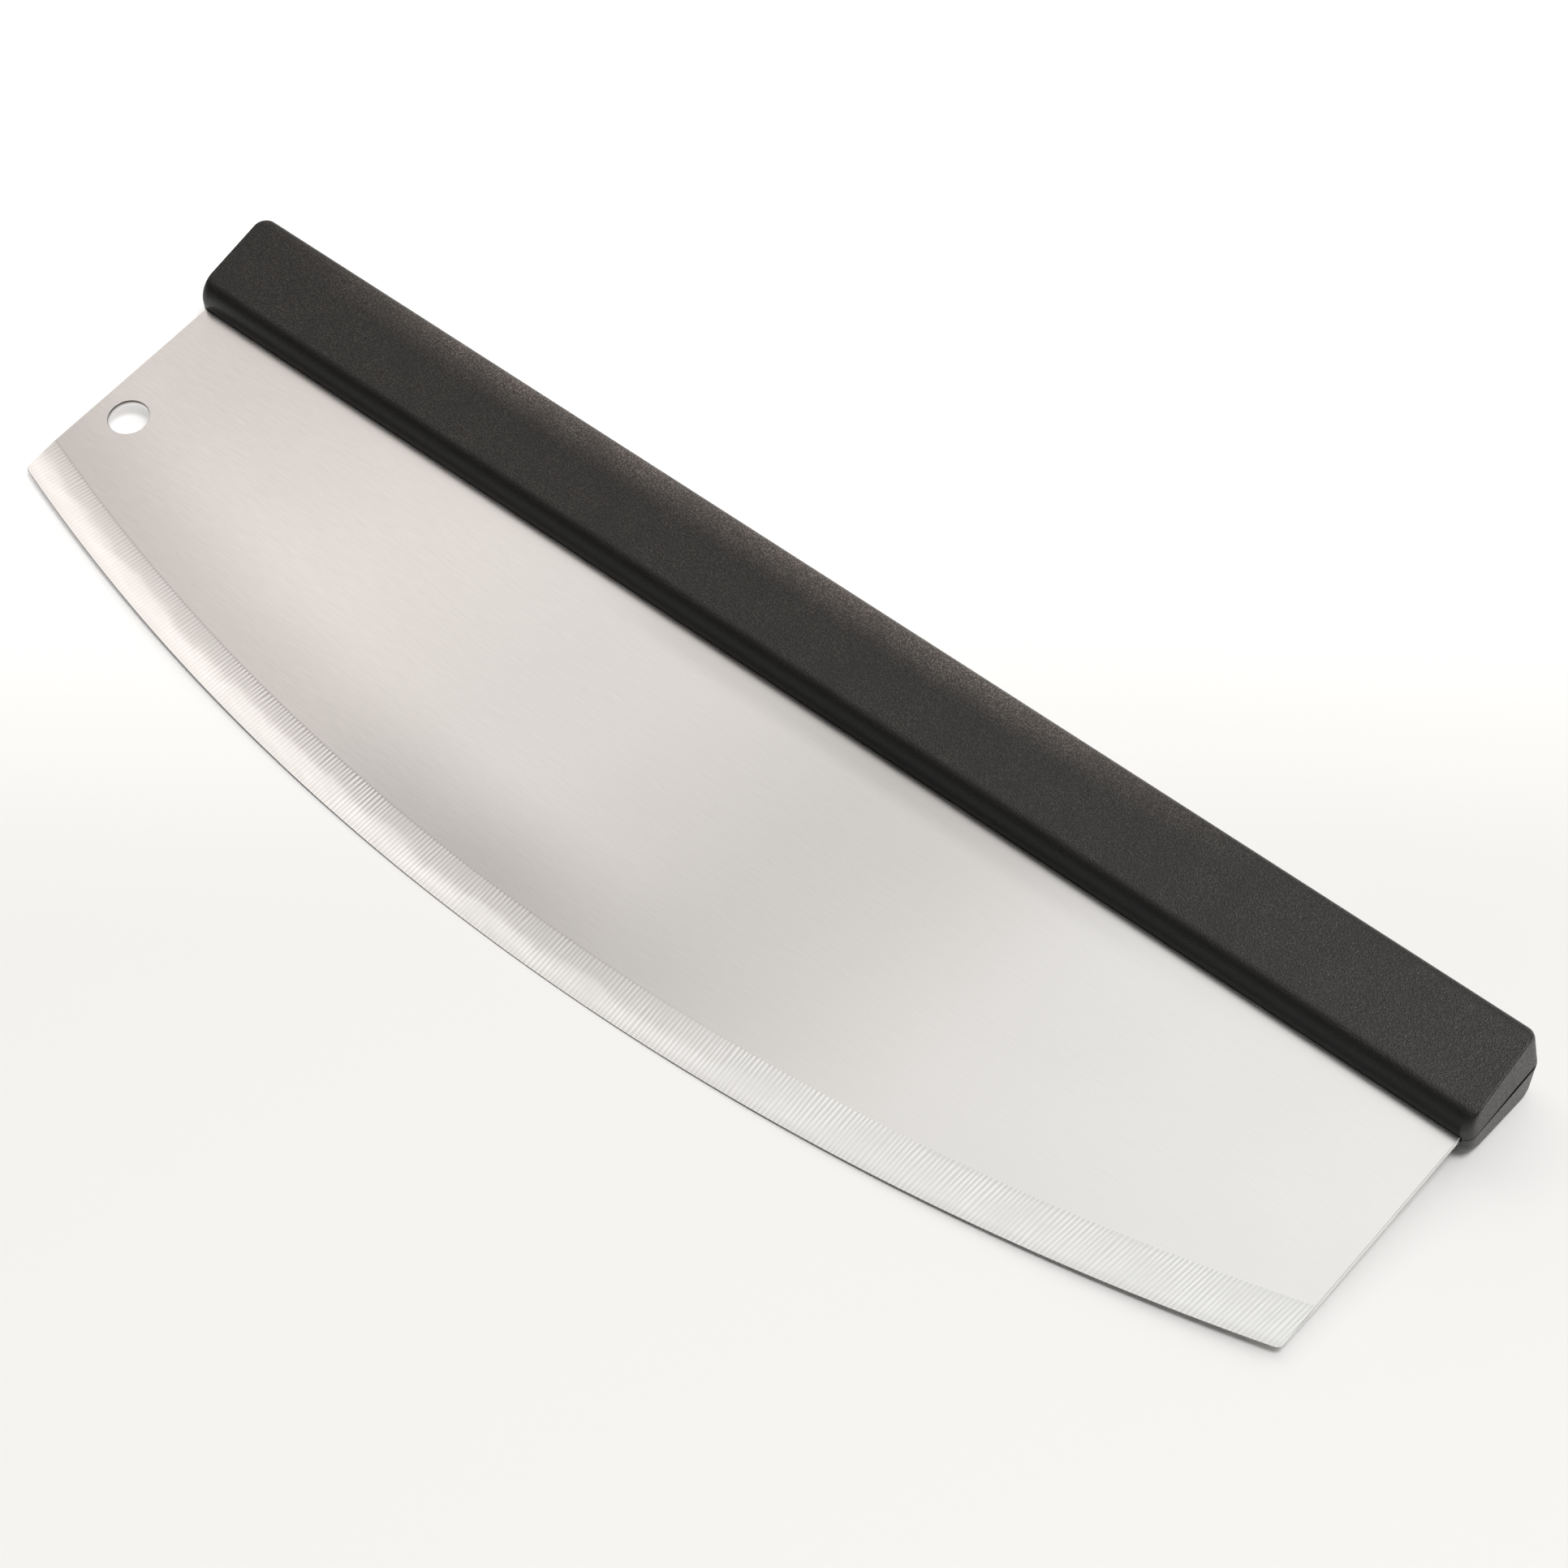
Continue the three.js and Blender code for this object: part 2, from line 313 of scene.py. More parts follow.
@dataclass(frozen=True)
class BladeSizes:
    """Sizes of the steel sheet, its ground edge, its tang and its holes."""

    length: float = 356 * MM
    side_height: float = 58.3 * MM
    belly_height: float = 85 * MM
    thickness: float = 1.5 * MM
    corner_radius: float = 1.6 * MM
    grind_width: float = 10 * MM
    grind_spread: float = 0.8 * MM
    edge_thickness: float = 0.3 * MM
    honed_thickness: float = 0.12 * MM
    grind_belly: float = 0.35
    deburr: float = 0.1 * MM
    hole_diameter: float = 9.7 * MM
    hole_from_end: float = 8.9 * MM
    hole_from_lip: float = 33.8 * MM
    shoulder_height: float = 2 * MM
    shoulder_ease: float = 0.2 * MM
    tang_height: float = 16 * MM
    tang_inset: float = 3 * MM
    tang_corner: float = 4 * MM

    @property
    def half(self) -> float:
        """Half the length."""
        return self.length / 2

    @property
    def edge_radius(self) -> float:
        """Radius of the cutting edge."""
        sagitta = self.belly_height - self.side_height
        return (self.half**2 + sagitta**2) / (2 * sagitta)

    @property
    def edge_centre(self) -> float:
        """Y of the middle of the circle that the cutting edge follows."""
        return self.edge_radius - self.belly_height


@dataclass(frozen=True)
class PinSizes:
    """Sizes of the pins that hold the halves together through the tang."""

    count: int = 6
    diameter: float = 4 * MM
    chamfer: float = 0.5 * MM
    from_tang_end: float = 16 * MM
    from_lip: float = 9 * MM
    clearance: float = 0.3 * MM

    @property
    def hole_diameter(self) -> float:
        """Diameter of the holes that the pins sit in."""
        return self.diameter + 2 * self.clearance


@dataclass(frozen=True)
class HandleSizes:
    """Sizes of one moulded half of the handle."""

    overhang: float = 2.1 * MM
    height: float = 25 * MM
    lip_thickness: float = 13 * MM
    spine_thickness: float = 24 * MM
    draft_angle: float = math.radians(4.6)
    lip_radius: float = 5 * MM
    spine_radius: float = 2.2 * MM
    end_corner_radius: float = 2.6 * MM
    end_edge_radius: float = 0.3 * MM
    wall: float = 2.4 * MM
    lip_wall: float = 3 * MM
    inside_radius: float = 0.5 * MM
    rib_thickness: float = 1.6 * MM
    ribs_per_bay: int = 3
    boss_wall: float = 2.2 * MM
    boss_skin: float = 1.6 * MM
    lip_gap: float = 0.16 * MM
    spine_gap: float = 0.6 * MM
    gap_bow: float = 0.75 * MM
    blade_clearance: float = 0.3 * MM

    @property
    def taper(self) -> float:
        """Rise of the outer face for each metre from the lip."""
        return (self.spine_thickness - self.lip_thickness) / 2 / self.height

    @property
    def draft(self) -> float:
        """Lean of the ends and the spine."""
        return math.tan(self.draft_angle)

    def seam(self, share: Number) -> Number:
        """Half the gap between the halves, some share of the way from lip to spine."""
        wedge = blend(self.lip_gap / 2, self.spine_gap / 2, share)
        return wedge + share * share * (1.0 - share) * (BOW_PEAK * self.gap_bow / 2)

    def face(self, y: float) -> float:
        """Height of the outer face over the middle of the sheet, so far from the lip."""
        return self.lip_thickness / 2 + self.taper * y

    def spine_centre(self) -> Vector:
        """Middle of the round between the outer face and the spine, as Y and Z."""
        face = self.lip_thickness / 2 - self.spine_radius * math.hypot(1, self.taper)
        spine = self.height - self.spine_radius * math.hypot(1, self.draft)
        y = (spine - self.draft * face) / (1 + self.draft * self.taper)
        return Vector((y, face + self.taper * y))


@dataclass(frozen=True)
class CutterSizes:
    """All the sizes of the cutter, and the angle and place at which it lies."""

    blade: BladeSizes = field(default_factory=BladeSizes)
    pins: PinSizes = field(default_factory=PinSizes)
    handle: HandleSizes = field(default_factory=HandleSizes)

    @property
    def handle_half(self) -> float:
        """Half the length of the handle."""
        return self.blade.half + self.handle.overhang

    @property
    def tang_half(self) -> float:
        """Half the length of the tang."""
        return self.blade.half - self.blade.tang_inset

    @property
    def pin_pitch(self) -> float:
        """Distance from one pin to the next."""
        return 2 * (self.tang_half - self.pins.from_tang_end) / (self.pins.count - 1)

    @property
    def last_rib(self) -> float:
        """X of the rib past the last pin."""
        row = self.pin_pitch * (self.pins.count - 1)
        return row / 2 + self.handle.boss_wall + self.pins.diameter

    @property
    def pin_hole_depth(self) -> float:
        """Depth of a boss's hole from the middle of the sheet."""
        return self.handle.face(self.pins.from_lip) - self.handle.boss_skin

    @property
    def tilt(self) -> float:
        """Angle at which the cutter lies, on its edge's belly and its handle's back."""
        corner = self.handle.spine_centre()
        across = corner.x + self.blade.belly_height
        up = corner.y - self.blade.edge_thickness / 2
        round_off = math.asin(self.handle.spine_radius / math.hypot(up, across))
        return math.atan2(up, across) + round_off

    def shift(self, cad_low: Vector, cad_high: Vector) -> Vector:
        """Where the blade's own frame starts, from the box of the blade on the table.

        Args:
            cad_low: Lowest corner of the CAD blade.
            cad_high: Highest corner of the CAD blade.

        Returns:
            The place of the middle of the lip, halfway through the sheet.
        """
        half_sheet = self.blade.thickness / 2
        top = self.blade.tang_height
        y = cad_high.y - top * math.cos(self.tilt) - half_sheet * math.sin(self.tilt)
        z = cad_high.z - top * math.sin(self.tilt) - half_sheet * math.cos(self.tilt)
        return Vector(((cad_low.x + cad_high.x) / 2, y, z))


@dataclass(frozen=True)
class Place:
    """Where the blade's own frame sits in the part's frame."""

    tilt: float
    shift: Vector

    @property
    def matrix(self) -> Matrix:
        """Carries a point of the blade's frame into the part's frame."""
        return Matrix.Translation(self.shift) @ Matrix.Rotation(self.tilt, 4, "X")


class GrownPiece(ABC):
    """A piece whose mesh a geometry tree makes from named sizes."""

    name: str
    slot: Slot
    nodes: tuple[str, ...]
    sharp_angle: float = math.radians(28)

    def __init__(self, sizes: CutterSizes, place: Place) -> None:
        """Keeps the sizes of the cutter and the place of its frame."""
        self.cutter = sizes
        self.place = place

    @abstractmethod
    def sizes(self) -> dict[str, float | int]:
        """Named sizes that the geometry tree takes."""

    @abstractmethod
    def grow(self, graph: Graph, size: Inputs) -> Socket:
        """Adds the nodes that make the piece in the blade's own frame.

        Args:
            graph: The geometry tree.
            size: The named sizes, as values of the tree.

        Returns:
            The socket that gives the finished mesh.
        """

    def build(self, material: bpy.types.Material) -> bpy.types.Object:
        """Makes the piece as a plain mesh object and hands it to the frame.

        Args:
            material: The finish of the piece.

        Returns:
            The new object, which stands for the piece's CAD nodes.
        """
        mesh = self._plain_mesh(material)
        piece = bpy.data.objects.new(self.name, mesh)
        bpy.context.scene.collection.objects.link(piece)
        even = piece.modifiers.new("even_normals", "WEIGHTED_NORMAL")
        even.keep_sharp = True
        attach(piece, "root")
        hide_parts(*self.nodes)
        LOG.info("%s: %d faces, for %s", self.name, len(mesh.polygons), ", ".join(self.nodes))
        return piece

    def _plain_mesh(self, material: bpy.types.Material) -> bpy.types.Mesh:
        """Runs the geometry tree once and keeps its mesh."""
        tree = bpy.data.node_groups.new(f"{self.name}_shape", "GeometryNodeTree")
        sizes = self.sizes()
        identifiers = self._fill(tree, sizes)
        carrier = bpy.data.objects.new(f"{self.name}_carrier", bpy.data.meshes.new("carrier"))
        bpy.context.scene.collection.objects.link(carrier)
        modifier = carrier.modifiers.new("shape", "NODES")
        modifier.node_group = tree
        for name, value in sizes.items():
            modifier[identifiers[name]] = value
        modifier[identifiers["Material"]] = material
        graph = bpy.context.evaluated_depsgraph_get()
        mesh = bpy.data.meshes.new_from_object(carrier.evaluated_get(graph), depsgraph=graph)
        mesh.name = self.name
        bpy.data.objects.remove(carrier)
        bpy.data.node_groups.remove(tree)
        return mesh

    def _fill(
        self, tree: bpy.types.NodeTree, sizes: Mapping[str, float | int]
    ) -> dict[str, str]:
        """Fills the tree and returns the identifier of each named input."""
        graph = Graph(tree)
        kinds = {
            name: "NodeSocketInt" if isinstance(value, int) else "NodeSocketFloat"
            for name, value in sizes.items()
        }
        size = graph.inputs({**kinds, "Material": "NodeSocketMaterial"})
        angle = graph.value(graph.node("GeometryNodeInputMeshEdgeAngle"), "Unsigned Angle")
        smooth = 1.0 - angle.over(self.sharp_angle)
        soft = graph.node(
            "GeometryNodeSetShadeSmooth",
            {"Geometry": self.grow(graph, size), "Shade Smooth": smooth},
            domain="EDGE",
        )
        tipped = move(
            graph, soft.outputs[0], tuple(self.place.shift), (self.place.tilt, 0.0, 0.0)
        )
        real = graph.node("GeometryNodeRealizeInstances", {"Geometry": tipped})
        dressed = graph.node(
            "GeometryNodeSetMaterial",
            {"Geometry": real.outputs[0], "Material": size["Material"]},
        )
        graph.outputs({"Mesh": dressed.outputs[0]})
        return {
            item.name: item.identifier
            for item in tree.interface.items_tree
            if item.in_out == "INPUT"
        }


def move(
    graph: Graph,
    geometry: Socket,
    by: Sequence[Number],
    turn: Sequence[float] = (0.0, 0.0, 0.0),
) -> Socket:
    """Turns a geometry about the origin and then moves it.

    Args:
        graph: The geometry tree.
        geometry: What is moved.
        by: Distance along X, Y and Z.
        turn: Angles about X, Y and Z.

    Returns:
        The moved geometry.
    """
    node = graph.node(
        "GeometryNodeTransform",
        {"Geometry": geometry, "Translation": graph.vector(*by), "Rotation": turn},
    )
    return node.outputs[0]


def cut(
    graph: Graph,
    body: Socket,
    tools: list[Socket],
) -> Socket:
    """Takes closed tools out of a closed body."""
    node = graph.node(
        "GeometryNodeMeshBoolean",
        {"Mesh 1": body, "Mesh 2": tools},
        operation="DIFFERENCE",
        solver="MANIFOLD",
    )
    return node.outputs[0]


def row_of_points(graph: Graph, count: Number, pitch: Value, y: Number) -> Socket:
    """Points evenly spaced along X about the middle, at a distance from the lip."""
    start = (count - 1.0) * pitch * -0.5
    line = graph.node(
        "GeometryNodeMeshLine",
        {
            "Count": count,
            "Start Location": graph.vector(start, y, 0.0),
            "Offset": graph.vector(pitch, 0.0, 0.0),
        },
    )
    return line.outputs[0]


def on_points(
    graph: Graph,
    points: Socket,
    shape: Socket,
    chosen: Value | bool = True,
) -> Socket:
    """Copies of a shape on points, or on the chosen ones, as one mesh."""
    copies = graph.node(
        "GeometryNodeInstanceOnPoints",
        {"Points": points, "Instance": shape, "Selection": chosen},
    )
    return graph.node("GeometryNodeRealizeInstances", {0: copies.outputs[0]}).outputs[0]


def cylinder(graph: Graph, diameter: Value, depth: Number, steps: int) -> Socket:
    """A closed cylinder along Z about the origin."""
    node = graph.node(
        "GeometryNodeMeshCylinder",
        {"Vertices": steps, "Radius": diameter / 2.0, "Depth": depth},
    )
    return node.outputs["Mesh"]


class Blade(GrownPiece):
    """The steel sheet: a slice of a disc with a ground rim, with a tang and holes."""

    name = "blade_sheet"
    slot = Slot.BLADE
    nodes = ("blade",)
    columns = 241
    grind_rows = 12
    flat_rows = 10
    tang_rows = 14
    layers = 4
    rim_share = 0.6
    hole_steps = 96
    pin_hole_steps = 32
    tool_reach = 6.0

    def sizes(self) -> dict[str, float | int]:
        """Named sizes that the geometry tree takes."""
        blade = self.cutter.blade
        return {
            "Half Length": blade.half,
            "Edge Radius": blade.edge_radius,
            "Edge Centre": blade.edge_centre,
            "Corner Radius": blade.corner_radius,
            "Half Sheet": blade.thickness / 2,
            "Half Edge": blade.honed_thickness / 2,
            "Grind Width": blade.grind_width,
            "Grind Spread": blade.grind_spread,
            "Grind Belly": blade.grind_belly,
            "Deburr": blade.deburr,
            "Hole Diameter": blade.hole_diameter,
            "Hole X": blade.hole_from_end - blade.half,
            "Hole Y": -blade.hole_from_lip,
            "Shoulder": blade.shoulder_height,
            "Shoulder Ease": blade.shoulder_ease,
            "Tang Half": self.cutter.tang_half,
            "Tang Height": blade.tang_height,
            "Tang Corner": blade.tang_corner,
            "Pin Count": self.cutter.pins.count,
            "Pin Pitch": self.cutter.pin_pitch,
            "Pin From Lip": self.cutter.pins.from_lip,
            "Pin Hole": self.cutter.pins.hole_diameter,
        }

    def grow(self, graph: Graph, size: Inputs) -> Socket:
        """Shapes a block into the sheet, then cuts its holes."""
        last_row = self.grind_rows + self.flat_rows + 1 + self.tang_rows
        block = graph.node(
            "GeometryNodeMeshCube",
            {
                "Size": (2.0, float(last_row), 2.0),
                "Vertices X": self.columns,
                "Vertices Y": last_row + 1,
                "Vertices Z": self.layers,
            },
        )
        shaped = graph.node(
            "GeometryNodeSetPosition",
            {"Geometry": block.outputs["Mesh"], "Position": self._rule(graph, size, last_row)},
        )
        return cut(graph, shaped.outputs[0], self._hole_tools(graph, size))

    def _rule(self, graph: Graph, size: Inputs, last_row: int) -> Socket:
        """Where each point of the block goes on the sheet."""
        across, row, layer = graph.parts(graph.node("GeometryNodeInputPosition").outputs[0])
        row = (row + last_row / 2).whole()
        outer = layer.size().over(0.5)
        inset = size["Deburr"] * outer
        turn = (across * (math.pi / 2)).sine()

        ground = row.share(0.0, float(self.grind_rows))
        flat = row.share(float(self.grind_rows), float(self.grind_rows + self.flat_rows))
        tang_start = float(self.grind_rows + self.flat_rows + 1)
        in_tang = row.over(tang_start - 0.5)
        up_tang = (row.share(tang_start, float(last_row)) * (math.pi / 2)).sine()

        tang_low = size["Shoulder"] + size["Shoulder Ease"]
        tang_y = blend(tang_low, size["Tang Height"], up_tang)
        past_corner = (tang_y - size["Tang Height"] + size["Tang Corner"]).at_least(0.0)
        corner_reach = (size["Tang Corner"].power(2.0) - past_corner.power(2.0)).root()
        tang_half = size["Tang Half"] - size["Tang Corner"] + corner_reach

        x = turn * (blend(size["Half Length"], tang_half, in_tang) - inset)
        low_y = self._edge_height(size, x, inset)
        width = size["Grind Width"] + size["Grind Spread"] * turn
        line_radius = size["Edge Radius"] - width
        line_y = size["Edge Centre"] - (line_radius.power(2.0) - x.power(2.0)).root()
        sheet_y = blend(blend(low_y, line_y, ground), size["Shoulder"] - inset, flat)
        y = blend(sheet_y, tang_y - inset * up_tang, in_tang)

        reach = (x.power(2.0) + (y - size["Edge Centre"]).power(2.0)).root()
        depth = (size["Edge Radius"] - reach).share(0.0, width)
        swell = depth + size["Grind Belly"] * depth * (1.0 - depth)
        half = blend(size["Half Edge"], size["Half Sheet"], swell)
        rim = size["Deburr"].at_most(half * self.rim_share)
        return graph.vector(x, y, layer.sign() * (half - rim * (1.0 - outer)))

    def _edge_height(self, size: Inputs, x: Value, inset: Value) -> Value:
        """Y of the cutting edge, and of the round at each of its ends."""
        edge_radius = size["Edge Radius"] - inset
        round_radius = size["Corner Radius"] - inset
        round_x = size["Half Length"] - size["Corner Radius"]
        reach = size["Edge Radius"] - size["Corner Radius"]
        round_y = size["Edge Centre"] - (reach.power(2.0) - round_x.power(2.0)).root()
        arc_y = size["Edge Centre"] - (edge_radius.power(2.0) - x.power(2.0)).root()
        past = (x.size() - round_x).at_least(0.0)
        corner_y = round_y - (round_radius.power(2.0) - past.power(2.0)).root()
        meeting = edge_radius * round_x / reach
        return blend(arc_y, corner_y, x.size().over(meeting))

    def _hole_tools(self, graph: Graph, size: Inputs) -> list[Socket]:
        """Tools for the hang hole, which is deburred on both sides, and for the pins' holes."""
        radius = size["Hole Diameter"] / 2.0
        flare = size["Deburr"] * 2.0
        start = size["Half Sheet"] - size["Deburr"]
        through = size["Half Sheet"] * self.tool_reach
        bore = cylinder(graph, size["Hole Diameter"], through, self.hole_steps)
        cone = graph.node(
            "GeometryNodeMeshCone",
            {
                "Vertices": self.hole_steps,
                "Radius Top": radius + flare,
                "Radius Bottom": radius,
                "Depth": flare,
            },
        ).outputs["Mesh"]
        x = size["Hole X"]
        y = size["Hole Y"]
        pin_hole = cylinder(graph, size["Pin Hole"], through, self.pin_hole_steps)
        points = row_of_points(
            graph, size["Pin Count"], size["Pin Pitch"], size["Pin From Lip"]
        )
        return [
            move(graph, bore, (x, y, 0.0)),
            move(graph, cone, (x, y, start)),
            move(graph, cone, (x, y, 0.0 - start), (math.pi, 0.0, 0.0)),
            on_points(graph, points, pin_hole),
        ]

    def build(self, material: bpy.types.Material) -> bpy.types.Object:
        """Makes the sheet and lays the map that its brushed and ground lines run along."""
        piece = super().build(material)
        self._lay_map(piece.data)
        return piece

    def _lay_map(self, mesh: bpy.types.Mesh) -> None:
        """Maps the flat across its brushed lines, and the ground edge along its curve."""
        blade = self.cutter.blade
        back = self.place.matrix.inverted()
        layer = mesh.uv_layers.new(name=LINE_MAP)
        for face in mesh.polygons:
            middle = back @ face.center
            reach = math.hypot(middle.x, middle.y - blade.edge_centre)
            ground = reach > blade.edge_radius - blade.grind_width
            for loop in face.loop_indices:
                point = back @ mesh.vertices[mesh.loops[loop].vertex_index].co
                run = blade.edge_radius * math.atan2(point.x, blade.edge_centre - point.y)
                depth = math.hypot(point.x, point.y - blade.edge_centre)
                across, along = (run, -depth) if ground else (point.y, -point.x)
                layer.data[loop].uv = (across + point.z, along - point.z)


class HandleHalf(GrownPiece):
    """One half of the handle: a hollow moulding with ribs and with bosses for the pins."""

    slot = Slot.HANDLE
    columns = 221
    lip_rows = 24
    face_rows = 8
    spine_rows = 16
    boss_steps = 32
    tool_reach = 4.0

    def __init__(self, sizes: CutterSizes, place: Place, side: Side) -> None:
        """Keeps the sizes, the place and which half it is."""
        super().__init__(sizes, place)
        self.side = side
        self.name = f"handle_{side.name.lower()}_moulding"
        self.nodes = (f"handle_{side.name.lower()}_half",)

    def sizes(self) -> dict[str, float | int]:
        """Named sizes that the geometry tree takes."""
        handle = self.cutter.handle
        blade = self.cutter.blade
        pins = self.cutter.pins
        return {
            "Half Length": self.cutter.handle_half,
            "Height": handle.height,
            "Draft": handle.draft,
            "Lip Radius": handle.lip_radius,
            "Spine Radius": handle.spine_radius,
            "End Corner": handle.end_corner_radius,
            "End Edge": handle.end_edge_radius,
            "Wall": handle.wall,
            "Lip Wall": handle.lip_wall,
            "Inside Radius": handle.inside_radius,
            "Rib Thickness": handle.rib_thickness,
            "Ribs Per Bay": handle.ribs_per_bay,
            "Boss Diameter": pins.hole_diameter + 2 * handle.boss_wall,
            "Pin Count": pins.count,
            "Pin Pitch": self.cutter.pin_pitch,
            "Pin From Lip": pins.from_lip,
            "Pin Hole": pins.hole_diameter,
            "Pin Depth": self.cutter.pin_hole_depth,
            "Last Rib": self.cutter.last_rib,
            "Seat Half": blade.half + handle.blade_clearance,
            "Seat Height": blade.shoulder_height + handle.blade_clearance,
            "Tang Seat Half": self.cutter.tang_half + handle.blade_clearance,
            "Tang Seat Height": blade.tang_height + handle.blade_clearance,
            "Seat Depth": blade.thickness / 2 + handle.blade_clearance,
        }

    def grow(self, graph: Graph, size: Inputs) -> Socket:
        """Shapes the outside, then takes out the hollow and the seats of the tang and pins."""
        outside = self._form(graph, size, hollow=False)
        pin_hole = cylinder(graph, size["Pin Hole"], size["Pin Depth"] * 2.0, self.boss_steps)
        tools = [
            self._hollow(graph, size),
            self._seat(graph, size, "Seat Half", "Seat Height"),
            self._seat(graph, size, "Tang Seat Half", "Tang Seat Height"),
            on_points(graph, self._pin_points(graph, size), pin_hole),
        ]
        half = cut(graph, outside, tools)
        if self.side is Side.BACK:
            half = move(graph, half, (0.0, 0.0, 0.0), (0.0, math.pi, 0.0))
        return half

    def _pin_points(self, graph: Graph, size: Inputs) -> Socket:
        """Where the pins stand."""
        return row_of_points(graph, size["Pin Count"], size["Pin Pitch"], size["Pin From Lip"])

    def _form(self, graph: Graph, size: Inputs, hollow: bool) -> Socket:
        """The outside of the half, or the plain hollow inside its walls.

        Args:
            graph: The geometry tree.
            size: The named sizes.
            hollow: Whether the hollow is meant.

        Returns:
            A closed block with a rounded section and leaning ends.
        """
        rows = self.lip_rows + self.face_rows + self.spine_rows
        block = graph.node(
            "GeometryNodeMeshCube",
            {
                "Size": (2.0, float(rows), 2.0),
                "Vertices X": 2 if hollow else self.columns,
                "Vertices Y": rows + 1,
                "Vertices Z": 2,
            },
        )
        rule = self._rule(graph, size, rows, hollow)
        shaped = graph.node(
            "GeometryNodeSetPosition", {"Geometry": block.outputs["Mesh"], "Position": rule}
        )
        return shaped.outputs[0]

    def _rule(self, graph: Graph, size: Inputs, rows: int, hollow: bool) -> Socket:
        """Where each point of the block goes on the half or on its hollow."""
        handle = self.cutter.handle
        across, row, layer = graph.parts(graph.node("GeometryNodeInputPosition").outputs[0])
        row = (row + rows / 2).whole()
        top = layer.over(0.0)
        half = size["Half Length"]
        lip_radius = size["Lip Radius"]
        spine_radius = size["Spine Radius"]
        wall = 0.0
        lip_wall = 0.0
        base = handle.seam(row / float(rows))
        if hollow:
            half = half - size["Wall"]
            lip_radius = (lip_radius - size["Wall"]).at_least(size["Inside Radius"])
            spine_radius = (spine_radius - size["Wall"]).at_least(size["Inside Radius"])
            wall = size["Wall"]
            lip_wall = size["Lip Wall"]
            base = 0.0 - handle.spine_gap

        lip_slope = math.hypot(1, handle.taper)
        spine_slope = math.hypot(1, handle.draft)
        lip_y = lip_wall + lip_radius
        lip_face = handle.lip_thickness / 2 + handle.taper * lip_y
        lip_z = lip_face - (lip_radius + wall) * lip_slope
        face_z = handle.lip_thickness / 2 - (spine_radius + wall) * lip_slope
        spine_line = size["Height"] - (spine_radius + wall) * spine_slope
        spine_y = (spine_line - size["Draft"] * face_z) / (1.0 + size["Draft"] * handle.taper)
        spine_z = face_z + handle.taper * spine_y

        lean = math.atan(handle.taper)
        round_lip = row.share(0.0, float(self.lip_rows))
        along_face = row.share(float(self.lip_rows), float(self.lip_rows + self.face_rows))
        round_spine = row.share(float(self.lip_rows + self.face_rows), float(rows))
        angle = (
            math.pi
            - (math.pi / 2 - lean) * round_lip
            - (math.pi / 2 + lean - handle.draft_angle) * round_spine
        )
        x = (across * (math.pi / 2)).sine() * half
        from_end = half - x.size()
        edge = self._easing(from_end, size["End Edge"]) if not hollow else 0.0
        radius = blend(lip_radius, spine_radius, along_face) - edge
        top_y = blend(lip_y, spine_y, along_face) + radius * angle.cosine()
        top_z = blend(lip_z, spine_z, along_face) + radius * angle.sine()
        spine_base = size["Height"] - wall * spine_slope - size["Draft"] * base
        base_y = blend(lip_wall + edge, spine_base - edge, row / float(rows))
        y = blend(base_y, top_y, top)
        z = blend(base, top_z, top)
        if not hollow:
            middle = size["Height"] / 2.0
            drawn = (y - middle) * self._easing(from_end, size["End Corner"]) / middle
            y = y - drawn
            z = z - drawn * handle.taper * top
        return graph.vector(x * (1.0 - size["Draft"] * z / half), y, z)

    def _easing(self, from_end: Value, radius: Value) -> Value:
        """How far a round of this radius draws the surface in, at a distance from the end."""
        short = (radius - from_end).at_least(0.0)
        return radius - (radius.power(2.0) - short.power(2.0)).root()

    def _hollow(self, graph: Graph, size: Inputs) -> Socket:
        """The hollow, less the ribs and the bosses that are left standing in it."""
        bay = size["Ribs Per Bay"] + 1.0
        count = (size["Pin Count"] - 1.0) * bay + 1.0
        index = graph.value(graph.node("GeometryNodeInputIndex"))
        between = graph.math("MODULO", index, bay).over(0.5)
        past = size["Height"] * self.tool_reach
        rib_box = graph.node(
            "GeometryNodeMeshCube",
            {"Size": graph.vector(size["Rib Thickness"], past, past)},
        ).outputs["Mesh"]
        rib_points = row_of_points(graph, count, size["Pin Pitch"] / bay, 0.0)
        end_points = row_of_points(graph, 2, size["Last Rib"] * 2.0, 0.0)
        boss = cylinder(graph, size["Boss Diameter"], past, self.boss_steps)
        standing = [
            on_points(graph, rib_points, rib_box, between),
            on_points(graph, end_points, rib_box),
            on_points(graph, self._pin_points(graph, size), boss),
        ]
        return cut(graph, self._form(graph, size, hollow=True), standing)

    def _seat(self, graph: Graph, size: Inputs, half: str, height: str) -> Socket:
        """Room for the tang, or for the shoulders of the blade, open at the lip."""
        below = size["Height"]
        box = graph.node(
            "GeometryNodeMeshCube",
            {
                "Size": graph.vector(
                    size[half] * 2.0, size[height] + below, size["Seat Depth"] * 2.0
                )
            },
        ).outputs["Mesh"]
        return move(graph, box, (0.0, (size[height] - below) / 2.0, 0.0))


